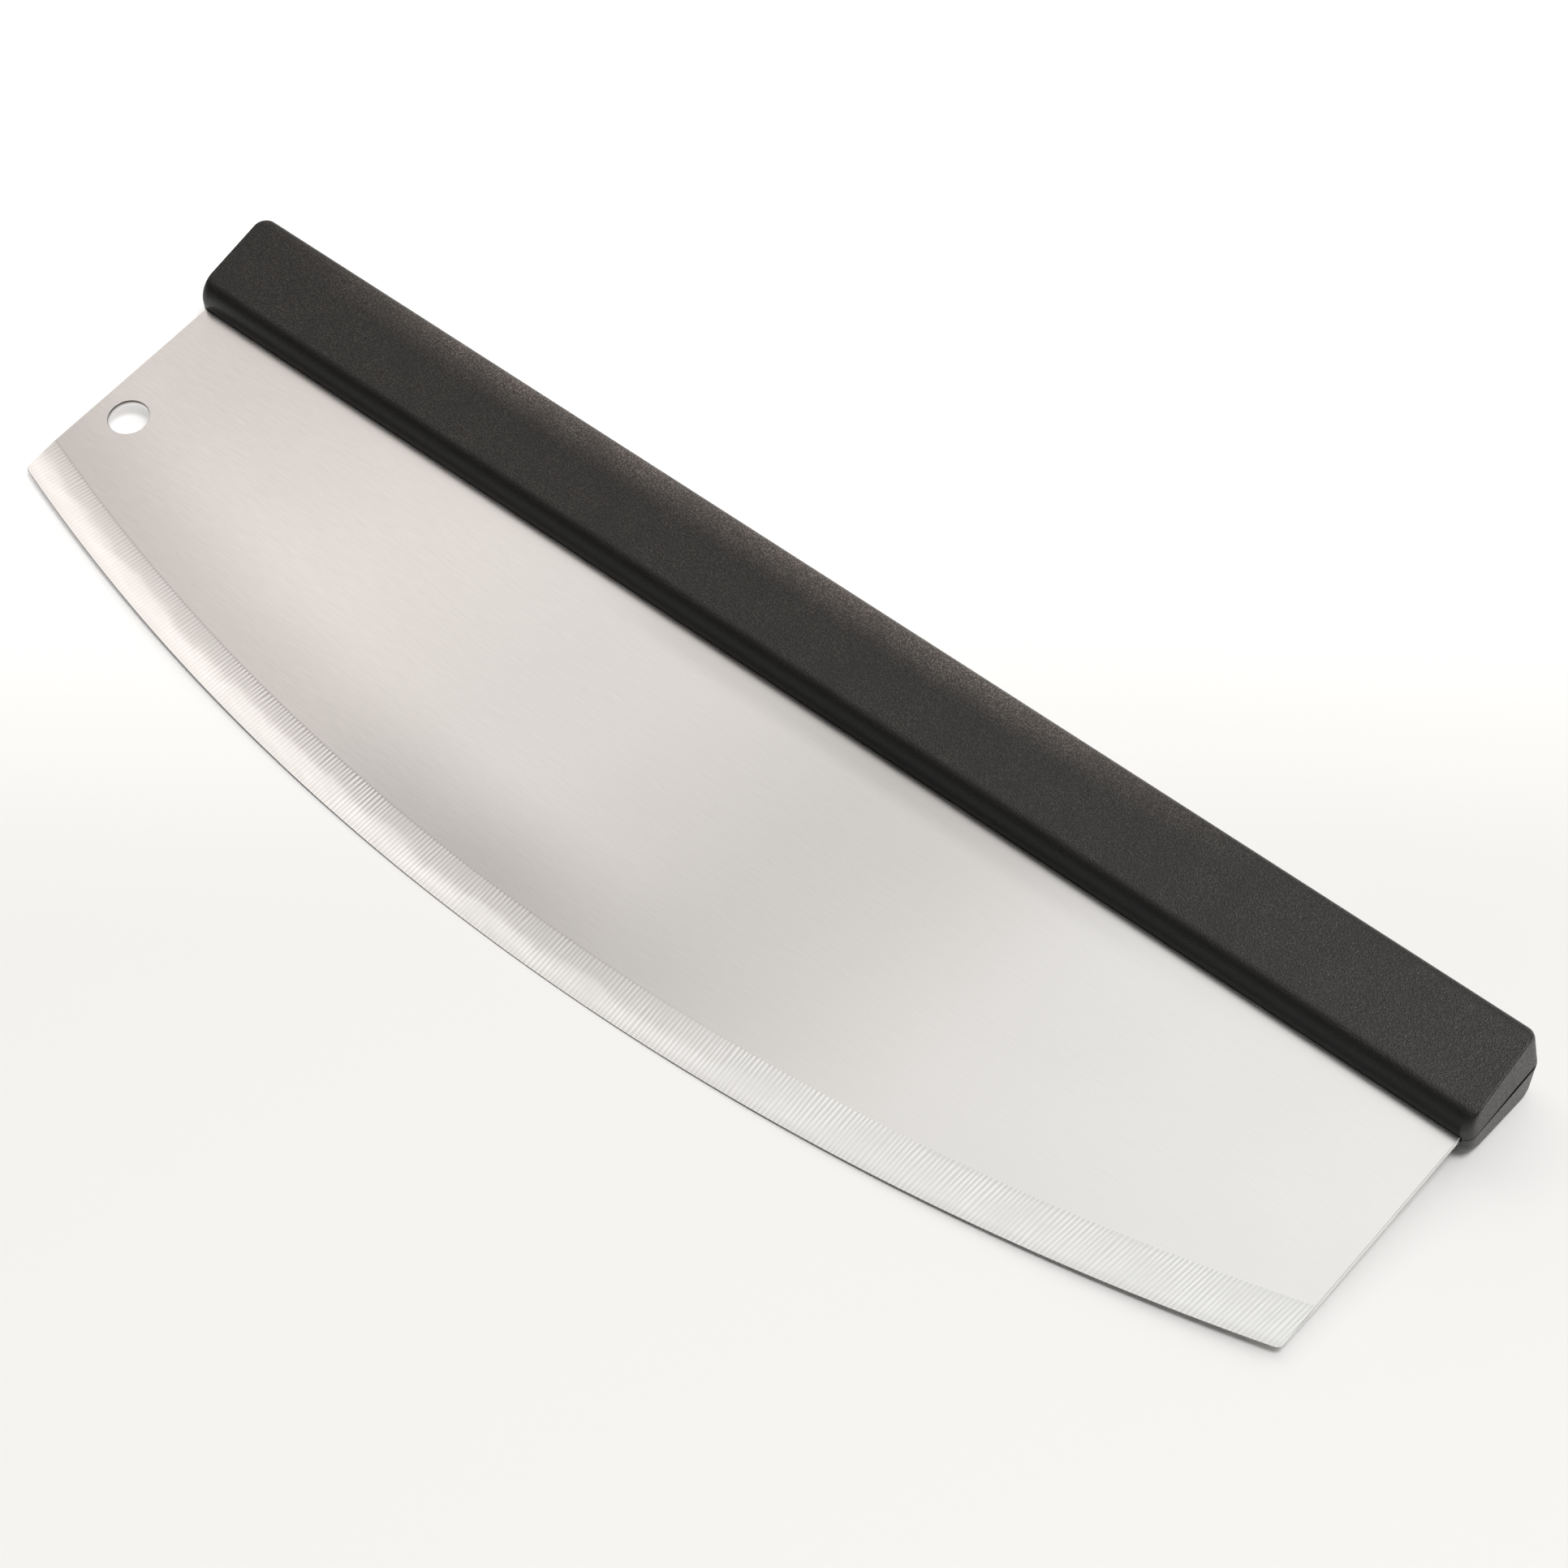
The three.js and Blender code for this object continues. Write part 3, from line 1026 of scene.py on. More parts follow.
class TangPins(GrownPiece):
    """The row of chamfered pins through the tang."""

    name = "tang_pins"
    slot = Slot.PIN
    steps = 48

    def __init__(self, sizes: CutterSizes, place: Place) -> None:
        """Keeps the sizes and names the CAD pins that the row stands for."""
        super().__init__(sizes, place)
        self.nodes = tuple(f"tang_pin_{number + 1}" for number in range(sizes.pins.count))

    def sizes(self) -> dict[str, float | int]:
        """Named sizes that the geometry tree takes."""
        pins = self.cutter.pins
        return {
            "Count": pins.count,
            "Pitch": self.cutter.pin_pitch,
            "From Lip": pins.from_lip,
            "Diameter": pins.diameter,
            "Chamfer": pins.chamfer,
            "Length": 2 * (self.cutter.pin_hole_depth - pins.clearance),
        }

    def grow(self, graph: Graph, size: Inputs) -> Socket:
        """Shapes one pin and sets copies of it along the tang."""
        body = graph.node(
            "GeometryNodeMeshCylinder",
            {"Vertices": self.steps, "Side Segments": 3, "Radius": 1.0, "Depth": 2.0},
        )
        x, y, z = graph.parts(graph.node("GeometryNodeInputPosition").outputs[0])
        end = z.size().over(0.5)
        radius = size["Diameter"] / 2.0 - size["Chamfer"] * end
        height = z.sign() * (size["Length"] / 2.0 - size["Chamfer"] * (1.0 - end))
        pin = graph.node(
            "GeometryNodeSetPosition",
            {
                "Geometry": body.outputs["Mesh"],
                "Position": graph.vector(x * radius, y * radius, height),
            },
        )
        points = row_of_points(graph, size["Count"], size["Pitch"], size["From Lip"])
        return on_points(graph, points, pin.outputs[0])


class Pattern(ABC):
    """A shader node group that materials share, built once."""

    name: str
    sockets: Mapping[str, str]

    def __init__(self) -> None:
        """Builds the group."""
        self.tree = bpy.data.node_groups.new(self.name, "ShaderNodeTree")
        graph = Graph(self.tree)
        graph.outputs(self.fill(graph, graph.inputs(self.sockets)))

    @abstractmethod
    def fill(self, graph: Graph, given: Inputs) -> dict[str, Source]:
        """Adds the group's nodes.

        Args:
            graph: The group's tree.
            given: The group's inputs.

        Returns:
            What feeds each output, by name.
        """

    def use(self, graph: Graph, **values: Any) -> bpy.types.Node:
        """Places the group in a material.

        Args:
            graph: The material's tree.
            values: What feeds each input; an underscore stands for a space in its name.

        Returns:
            The group's node.
        """
        node = graph.node("ShaderNodeGroup", node_tree=self.tree)
        for name, value in values.items():
            graph.feed(node.inputs[name.replace("_", " ").title()], value)
        return node


class SheetPlace(Pattern):
    """Places in the blade's own frame, before the cutter was tipped."""

    name = "sheet_place"
    sockets: Mapping[str, str] = {}

    def __init__(self, place: Place) -> None:
        """Keeps the place of the blade's frame and builds the group."""
        self.place = place
        super().__init__()

    def fill(self, graph: Graph, given: Inputs) -> dict[str, Source]:
        """Turns the object's own coordinates back by the tilt."""
        raw = graph.node("ShaderNodeTexCoord").outputs["Object"]
        level = graph.node(
            "ShaderNodeMapping",
            {
                "Vector": raw,
                "Location": tuple(self.place.shift),
                "Rotation": (self.place.tilt, 0.0, 0.0),
            },
            vector_type="TEXTURE",
        )
        return {"Place": level.outputs[0]}


class DrawnLines(Pattern):
    """Fine lines that run along X, as a brush or a drawing die leaves them."""

    name = "drawn_lines"
    sockets = {
        "Place": "NodeSocketVector",
        "Length": "NodeSocketFloat",
        "Width": "NodeSocketFloat",
    }
    fineness = (3.0, 0.65)

    def fill(self, graph: Graph, given: Inputs) -> dict[str, Source]:
        """Stretches noise along X."""
        x, y, z = graph.parts(given["Place"].socket)
        stretched = graph.vector(
            x / given["Length"], y / given["Width"], z / given["Width"]
        )
        return {"Lines": graph.noise(stretched, *self.fineness)}


class GroundMarks(Pattern):
    """Marks of the grinding wheel across the cutting edge, and where the ground edge lies."""

    name = "ground_marks"
    sockets = {
        "Place": "NodeSocketVector",
        "Edge Radius": "NodeSocketFloat",
        "Edge Centre": "NodeSocketFloat",
        "Pitch": "NodeSocketFloat",
        "Lean": "NodeSocketFloat",
    }
    lean_start = 30 * MM
    lean_end = 176 * MM
    other_side = 9.0
    drift_stretch = (0.2, 0.03)
    drift = 1.6
    scratch_stretch = (2.4, 0.12)
    scratch_share = 0.45
    patch_stretch = (0.09, 0.15)

    def fill(self, graph: Graph, given: Inputs) -> dict[str, Source]:
        """Follows the curve of the edge with a comb of marks that is never quite even."""
        x, y, z = graph.parts(given["Place"].socket)
        inward = given["Edge Centre"] - y
        run = graph.math("ARCTAN2", x, inward) * given["Edge Radius"]
        depth = given["Edge Radius"] - (x.power(2.0) + inward.power(2.0)).root()
        leaning = run.eased(self.lean_start, self.lean_end) * given["Lean"]
        start = (run - depth * leaning) / given["Pitch"]
        reach = depth / given["Pitch"]
        side = z.sign() * self.other_side

        def uneven(stretch: tuple[float, float]) -> Value:
            """Noise that is stretched along and across the marks."""
            return graph.noise(graph.vector(start * stretch[0], reach * stretch[1], side))

        comb = ((start + uneven(self.drift_stretch) * self.drift) * math.tau).sine() * 0.5 + 0.5
        return {
            "Marks": blend(comb, uneven(self.scratch_stretch), self.scratch_share),
            "Patches": uneven(self.patch_stretch),
            "Depth": depth,
            "Run": run,
        }


class MouldedGrain(Pattern):
    """The fine pitted grain that a spark-eroded mould leaves."""

    name = "moulded_grain"
    sockets = {"Place": "NodeSocketVector", "Size": "NodeSocketFloat"}
    fine_noise = (2.0, 0.6)
    coarse_noise = (1.0, 0.5)
    coarse = 2.8
    coarse_share = 0.22
    speck_range = (0.4, 0.74)

    def fill(self, graph: Graph, given: Inputs) -> dict[str, Source]:
        """Mixes two sizes of noise for the relief, and picks its high spots."""
        place = given["Place"].socket
        wide = given["Size"] * self.coarse
        fine = graph.noise(graph.scaled(place, given["Size"]), *self.fine_noise)
        coarse = graph.noise(graph.scaled(place, wide), *self.coarse_noise)
        return {
            "Height": blend(fine, coarse, self.coarse_share),
            "Specks": fine.eased(*self.speck_range),
        }


class Mottle(Pattern):
    """Broad, faint unevenness of a surface."""

    name = "mottle"
    sockets = {"Place": "NodeSocketVector", "Size": "NodeSocketFloat"}
    fineness = (2.0, 0.45)

    def fill(self, graph: Graph, given: Inputs) -> dict[str, Source]:
        """Adds slow noise."""
        spot = graph.scaled(given["Place"].socket, given["Size"])
        return {"Mottle": graph.noise(spot, *self.fineness)}


@dataclass(frozen=True)
class Patterns:
    """The shared node groups of the cutter's materials."""

    place: SheetPlace
    lines: DrawnLines
    marks: GroundMarks
    grain: MouldedGrain
    mottle: Mottle

    @classmethod
    def made(cls, place: Place) -> "Patterns":
        """Builds each group once."""
        return cls(SheetPlace(place), DrawnLines(), GroundMarks(), MouldedGrain(), Mottle())


def mix(graph: Graph, first: Paint, second: Paint, share: Value) -> Socket:
    """A colour a given share of the way from one colour to another.

    Args:
        graph: The material's tree.
        first: The colour at a share of 0, as three numbers or as a socket.
        second: The colour at a share of 1.
        share: How much of the second colour shows.

    Returns:
        The socket that gives the mixed colour.
    """
    node = graph.node("ShaderNodeMix", {"Factor": share}, data_type="RGBA")
    for place, paint in zip(MIX_PAINTS, (first, second)):
        graph.feed(node.inputs[place], (*paint, 1.0) if isinstance(paint, tuple) else paint)
    return node.outputs[MIX_RESULT]


def bumped(graph: Graph, relief: Value) -> Socket:
    """Normals that follow a relief in metres."""
    node = graph.node("ShaderNodeBump", {"Strength": 1.0, "Distance": 1.0, "Height": relief})
    return node.outputs[0]


def blank_material(name: str) -> tuple[bpy.types.Material, Graph]:
    """A new material with an empty node tree."""
    material = bpy.data.materials.new(name)
    material.use_nodes = True
    return material, Graph(material.node_tree)


def surface(graph: Graph, shader: Socket) -> None:
    """Ends a material's tree."""
    graph.node("ShaderNodeOutputMaterial", {"Surface": shader})


@dataclass(frozen=True)
class SheetMap:
    """What the finish of the blade reads at each place on the sheet."""

    x: Value
    y: Value
    z: Value
    lines: Value
    mottle: Value
    marks: Value
    patches: Value
    depth: Value
    run: Value
    from_line: Value
    # Painted shade along the grind line, strongest on the left.
    border: Value
    in_grind: Value


@dataclass(frozen=True)
class FlatTone:
    """Painted light and shade on the flat of the blade, over its brushed lines and random tone:
    where, and by what share.
    """

    plain: float = 0.767
    lines: float = 0.27
    mottle: float = 0.106
    # Painted light: a paler cloud across the middle of the flat, away from the grind.
    pale_cloud: Band = (-75 * MM, 75 * MM, 0.7)
    pale_gain: float = 0.14
    # Painted shade: a darker cloud a little right of the middle.
    shade_cloud: Band = (42 * MM, 68 * MM, 0.2)
    shade_cloud_loss: float = 0.353
    # Painted shade beside the grind, deepest left of the middle and fading to the right.
    shade_reach: Span = (8 * MM, 36 * MM)
    shade_fade: Span = (-30 * MM, 60 * MM)
    shade_faded: float = 0.9
    deep_shade: Band = (-30 * MM, 50 * MM, 0.0)
    deep_gain: float = 0.6
    shade_loss: float = 0.46
    # Painted shade towards the left end.
    left_end: Span = (-178 * MM, -90 * MM)
    left_loss: float = 0.14
    # Painted shade: a darker strip just under the handle's lip, standing in for the handle's
    # reflection in the steel.
    strip_reach: Span = (-9 * MM, -4 * MM)
    strip_start: Span = (-55 * MM, -20 * MM)
    strip_end: Span = (40 * MM, 140 * MM)
    strip_loss: float = 0.28
    border_loss: float = 0.32
    # Painted light towards the right end.
    right_end: Span = (60 * MM, 178 * MM)
    right_gain: float = 0.106

    def share(self, sheet: SheetMap) -> Value:
        """How light the flat is at each place."""

        def cloud(middle: float, reach: float, slant: float) -> Value:
            """A broad soft band across the sheet."""
            return 1.0 - (sheet.x - sheet.y * slant - middle).size().eased(0.0, reach)

        by_grind = 1.0 - sheet.depth.eased(*self.shade_reach)
        fading = 1.0 - sheet.x.eased(*self.shade_fade) * self.shade_faded
        shade = by_grind * (fading + cloud(*self.deep_shade) * self.deep_gain)
        strip = (
            sheet.y.eased(*self.strip_reach)
            * sheet.x.eased(*self.strip_start)
            * (1.0 - sheet.x.eased(*self.strip_end))
        )
        # Apart from the lines and the mottle, each term here is painted light or painted shade.
        return (
            self.plain
            + (sheet.lines - NOISE_MEAN) * self.lines
            + (sheet.mottle - NOISE_MEAN) * self.mottle
            + cloud(*self.pale_cloud) * (1.0 - by_grind) * self.pale_gain
            - cloud(*self.shade_cloud) * self.shade_cloud_loss
            - shade * self.shade_loss
            - (1.0 - sheet.x.eased(*self.left_end)) * self.left_loss
            - strip * self.strip_loss
            - sheet.border * self.border_loss
            + sheet.x.eased(*self.right_end) * self.right_gain
        )


@dataclass(frozen=True)
class GroundTone:
    """What lightens or darkens the ground edge, with painted shade near the cutting edge,
    towards the grind line and on the left: where, and by what share.
    """

    plain: float = 0.74
    marks: float = 0.8
    patches: float = 0.17
    shown_patches: Span = (0.3, 0.65)
    least_shown: float = 0.3
    # Real wear: how much the wheel's marks fade towards the edge, on the left and on the right.
    wear_and_sheen: Span = (0.85, 0.45)
    worn_run: Span = (-90 * MM, -30 * MM)
    keen_middle: float = -75 * MM
    keen_reach: Span = (15 * MM, 55 * MM)
    keen_gain: float = 0.9
    # Painted shade: deeper towards the grind line and on a band as of a second facet, strongest
    # on the left.
    fall_run: Span = (0.0, 80 * MM)
    least_fall: float = 0.1
    fall_loss: float = 0.03
    facet_shade_reach: Span = (3.8 * MM, 6.4 * MM)
    facet_shade_drift: float = 5 * MM
    facet_shade_loss: float = 0.22
    line_shade_loss: float = 0.1
    # Painted shade close to the cutting edge.
    edge_shade_reach: Span = (0.3 * MM, 2.5 * MM)
    edge_shade_loss: float = 0.14
    border_loss: float = 0.25

    def wheel_marks(self, sheet: SheetMap) -> Value:
        """Marks of the wheel, which wear away towards the edge and are fainter in patches."""
        shown = blend(self.least_shown, 1.0, sheet.patches.eased(*self.shown_patches))
        wear_and_sheen = blend(*self.wear_and_sheen, sheet.run.eased(*self.worn_run))
        return sheet.marks * shown * (1.0 - sheet.from_line * wear_and_sheen)

    def share(self, sheet: SheetMap, marks: Value) -> Value:
        """How light the ground edge is at each place.

        Args:
            sheet: What is read at each place.
            marks: Marks of the wheel.

        Returns:
            The share of the light colour.
        """
        from_keen = (sheet.run - self.keen_middle).size().eased(*self.keen_reach)
        keen = blend(1.0 + self.keen_gain, 1.0, from_keen)
        # Painted shade, deeper towards the grind line and on a band as of a second facet, and
        # strongest on the left.
        drifted = sheet.depth + (sheet.patches - NOISE_MEAN) * self.facet_shade_drift
        fall = self.fall_loss + (1.0 - sheet.from_line) * self.line_shade_loss
        fall = fall + drifted.eased(*self.facet_shade_reach) * self.facet_shade_loss
        return (
            self.plain
            + marks * keen * self.marks
            + (sheet.patches - NOISE_MEAN) * self.patches
            - fall * (1.0 + self.least_fall - sheet.run.eased(*self.fall_run))
            - (1.0 - sheet.depth.eased(*self.edge_shade_reach)) * self.edge_shade_loss
            - sheet.border * self.border_loss
        )


@dataclass(frozen=True)
class BladeFinish:
    """Brushed steel sheet with an edge that is ground across, with painted light and shade on
    the flat, the ground edge and the wall of the hang hole.
    """

    dark: Colour = (0.58, 0.569, 0.559)
    light: Colour = (0.92, 0.91, 0.895)
    ground_dark: Colour = (0.42, 0.405, 0.395)
    ground_light: Colour = (0.957, 0.965, 0.957)
    # Near-black painted shade for the wall of the hang hole.
    hole_wall_shade: Colour = (0.10, 0.085, 0.075)
    roughness: float = 0.21
    line_roughness: float = 0.12
    ground_roughness: float = 0.2
    mark_roughness: float = 0.15
    anisotropy: float = 0.75
    line_length: float = 6 * MM
    line_width: float = 0.4 * MM
    line_relief: float = 0.5e-6
    mark_pitch: float = 1.04 * MM
    mark_lean: float = 0.42
    mark_relief: float = 12e-6
    wave_relief: float = 120e-6
    mottle_size: float = 30 * MM
    grind_end: Span = (-0.05 * MM, 0.15 * MM)
    # Reach and fade of the painted shade along the grind line.
    border_reach: Span = (0.0, 0.4 * MM)
    border_fade: Span = (-0.3, 0.6)
    hole_rim: Span = (0.02 * MM, 0.12 * MM)
    hole_shade: float = 0.4
    flat: FlatTone = FlatTone()
    ground: GroundTone = GroundTone()

    def material(self, patterns: Patterns, blade: BladeSizes) -> bpy.types.Material:
        """Builds the material.

        Args:
            patterns: The shared node groups.
            blade: Sizes of the sheet.

        Returns:
            The finished material.
        """
        material, graph = blank_material("brushed_blade_steel")
        sheet = self._sheet(graph, patterns, blade)
        marks = self.ground.wheel_marks(sheet)
        mark_share = self.ground.share(sheet, marks)
        flat_colour = mix(graph, self.dark, self.light, self.flat.share(sheet))
        ground_colour = mix(graph, self.ground_dark, self.ground_light, mark_share)
        open_steel = mix(graph, flat_colour, ground_colour, sheet.in_grind)
        in_hole = self._in_hole(sheet, blade)
        flat_rough = self.roughness + (sheet.lines - NOISE_MEAN) * self.line_roughness
        ground_rough = self.ground_roughness + marks * self.mark_roughness
        waves = sheet.patches * sheet.from_line * self.wave_relief
        ground_relief = marks * self.mark_relief + waves
        relief = blend(sheet.lines * self.line_relief, ground_relief, sheet.in_grind)
        across = graph.node("ShaderNodeTangent", direction_type="UV_MAP", uv_map=LINE_MAP)
        steel = graph.node(
            "ShaderNodeBsdfPrincipled",
            {
                "Base Color": mix(graph, open_steel, self.hole_wall_shade, in_hole),
                "Metallic": 1.0,
                "Roughness": blend(flat_rough, ground_rough, sheet.in_grind),
                "Anisotropic": self.anisotropy,
                "Tangent": across.outputs[0],
                "Normal": bumped(graph, relief),
            },
        )
        surface(graph, steel.outputs[0])
        return material

    def _sheet(self, graph: Graph, patterns: Patterns, blade: BladeSizes) -> SheetMap:
        """Reads the shared patterns, and how far each place is from the cutting edge."""
        place = patterns.place.use(graph).outputs["Place"]
        lines = patterns.lines.use(
            graph, place=place, length=self.line_length, width=self.line_width
        )
        ground = patterns.marks.use(
            graph,
            place=place,
            edge_radius=blade.edge_radius,
            edge_centre=blade.edge_centre,
            pitch=self.mark_pitch,
            lean=self.mark_lean,
        )
        mottle = patterns.mottle.use(graph, place=place, size=self.mottle_size)
        x, y, z = graph.parts(place)
        depth = graph.value(ground, "Depth")
        run = graph.value(ground, "Run")
        width = blade.grind_width + blade.grind_spread * (run / blade.half)
        past_line = depth - width
        leftward = 1.0 - run.eased(*(share * blade.half for share in self.border_fade))
        return SheetMap(
            x=x,
            y=y,
            z=z,
            lines=graph.value(lines),
            mottle=graph.value(mottle),
            marks=graph.value(ground, "Marks") - NOISE_MEAN,
            patches=graph.value(ground, "Patches"),
            depth=depth,
            run=run,
            from_line=1.0 - depth.share(0.0, width),
            border=(1.0 - past_line.size().eased(*self.border_reach)) * leftward,
            in_grind=1.0 - past_line.eased(*self.grind_end),
        )

    def _in_hole(self, sheet: SheetMap, blade: BladeSizes) -> Value:
        """Where painted shade darkens the wall of the hang hole, fading towards the back of the
        sheet.
        """
        x = sheet.x - (blade.hole_from_end - blade.half)
        y = sheet.y + blade.hole_from_lip
        from_hole = (x.power(2.0) + y.power(2.0)).root() - blade.hole_diameter / 2
        deep = self.hole_shade * blade.thickness
        return (1.0 - from_hole.eased(*self.hole_rim)) * sheet.z.eased(-deep, deep)


@dataclass(frozen=True)
class PlasticFinish:
    """Black moulded plastic with a fine pitted grain, a paler painted sheen near the spine, and
    painted shade on the lip and in the seam.
    """

    dark: Colour = (0.004, 0.0036, 0.0032)
    light: Colour = (0.045, 0.039, 0.033)
    # Colour of the painted sheen: a paler brown where light catches near the spine.
    wear_and_sheen: Colour = (0.245, 0.206, 0.184)
    # Near-black painted shade, for the seam's gap and for the lip.
    shade_black: Colour = (0.0005, 0.0005, 0.0005)
    roughness: float = 0.40
    grain_size: float = 0.36 * MM
    grain_relief: float = 125e-6
    mottle_size: float = 9 * MM
    mottle_specks: Span = (0.4, 1.6)
    mottle_roughness: float = 0.1
    mean_speck: float = 0.3
    speck_gloss: float = 0.2
    lip_band: Span = (1.0 * MM, 4.5 * MM)
    lip_roughness: float = 0.44
    lip_speck_loss: float = 0.6
    lip_relief_loss: float = 0.3
    lip_shade: float = 0.9
    seam_rim: Span = (0.01 * MM, 0.07 * MM)
    sheen_band: Span = (15 * MM, 25 * MM)
    sheen_height: Span = (6.5 * MM, 9.8 * MM)
    sheen_middle: float = -30 * MM
    sheen_reach: Span = (70 * MM, 150 * MM)
    sheen_specks: Span = (0.2, 1.0)

    def material(self, patterns: Patterns, handle: HandleSizes) -> bpy.types.Material:
        """Builds the material.

        Args:
            patterns: The shared node groups.
            handle: Sizes of the halves, which tell where the seam between them lies.

        Returns:
            The finished material.
        """
        material, graph = blank_material("grained_black_plastic")
        place = patterns.place.use(graph).outputs["Place"]
        grain = patterns.grain.use(graph, place=place, size=self.grain_size)
        height = graph.value(grain, "Height")
        specks = graph.value(grain, "Specks")
        mottle = graph.value(patterns.mottle.use(graph, place=place, size=self.mottle_size))
        x, y, z = graph.parts(place)
        seam = handle.seam(y.share(0.0, handle.height))
        in_seam = 1.0 - (z.size() - seam).eased(*self.seam_rim)
        # Painted sheen: a paler band near the spine, over the middle of the handle, standing in
        # for light caught there.
        sheen_mask = (
            y.eased(*self.sheen_band)
            * z.size().eased(*self.sheen_height)
            * (1.0 - (x - self.sheen_middle).size().eased(*self.sheen_reach))
        )
        smooth = 1.0 - y.eased(*self.lip_band)
        paled = specks * blend(*self.mottle_specks, mottle)
        paled = paled * (1.0 - smooth * self.lip_speck_loss)
        sheen_share = sheen_mask * blend(*self.sheen_specks, paled)
        # Painted shade: the seam's gap goes black, and the lip under the handle goes near
        # black.
        painted_shade = in_seam.at_least(smooth * self.lip_shade)
        clean = mix(graph, self.dark, self.light, paled)
        sheened = mix(graph, clean, self.wear_and_sheen, sheen_share)
        grained = (
            self.roughness
            + (mottle - NOISE_MEAN) * self.mottle_roughness
            - (specks - self.mean_speck) * self.speck_gloss
        )
        rough = blend(grained, self.lip_roughness, smooth)
        relief = height * (1.0 - smooth * self.lip_relief_loss) * self.grain_relief
        plastic = graph.node(
            "ShaderNodeBsdfPrincipled",
            {
                "Base Color": mix(graph, sheened, self.shade_black, painted_shade),
                "Roughness": blend(rough, 1.0, in_seam),
                "Normal": bumped(graph, relief),
            },
        )
        surface(graph, plastic.outputs[0])
        return material


@dataclass(frozen=True)
class PinFinish:
    """Plain drawn steel."""

    dark: Colour = (0.52, 0.53, 0.54)
    light: Colour = (0.68, 0.69, 0.70)
    roughness: float = 0.28
    line_roughness: float = 0.1
    line_length: float = 0.12 * MM
    line_width: float = 6 * MM
    line_relief: float = 2e-6

    def material(self, patterns: Patterns) -> bpy.types.Material:
        """Builds the material from the shared node groups."""
        material, graph = blank_material("drawn_pin_steel")
        place = patterns.place.use(graph).outputs["Place"]
        drawn = patterns.lines.use(
            graph, place=place, length=self.line_length, width=self.line_width
        )
        lines = graph.value(drawn)
        steel = graph.node(
            "ShaderNodeBsdfPrincipled",
            {
                "Base Color": mix(graph, self.dark, self.light, lines),
                "Metallic": 1.0,
                "Roughness": self.roughness + (lines - NOISE_MEAN) * self.line_roughness,
                "Normal": bumped(graph, lines * self.line_relief),
            },
        )
        surface(graph, steel.outputs[0])
        return material


@dataclass(frozen=True)
class Softbox:
    """A large square lamp that shines on the cutter from a given direction."""

    name: str = "overhead_softbox"
    direction: Axis = (0.32, -0.12, 0.94)
    distance: float = 2.6
    width: float = 0.68
    radiance: float = 22.0

    def build(self) -> bpy.types.Object:
        """Hangs the lamp, with its power set by how bright its face is."""
        data = bpy.data.lights.new(self.name, "AREA")
        data.shape = "SQUARE"
        data.size = self.width
        data.energy = math.pi * self.width**2 * self.radiance
        lamp = bpy.data.objects.new(self.name, data)
        away = Vector(self.direction).normalized()
        turn = away.to_track_quat("Z", "Y").to_matrix().to_4x4()
        lamp.matrix_world = Matrix.Translation(away * self.distance) @ turn
        bpy.context.scene.collection.objects.link(lamp)
        return lamp


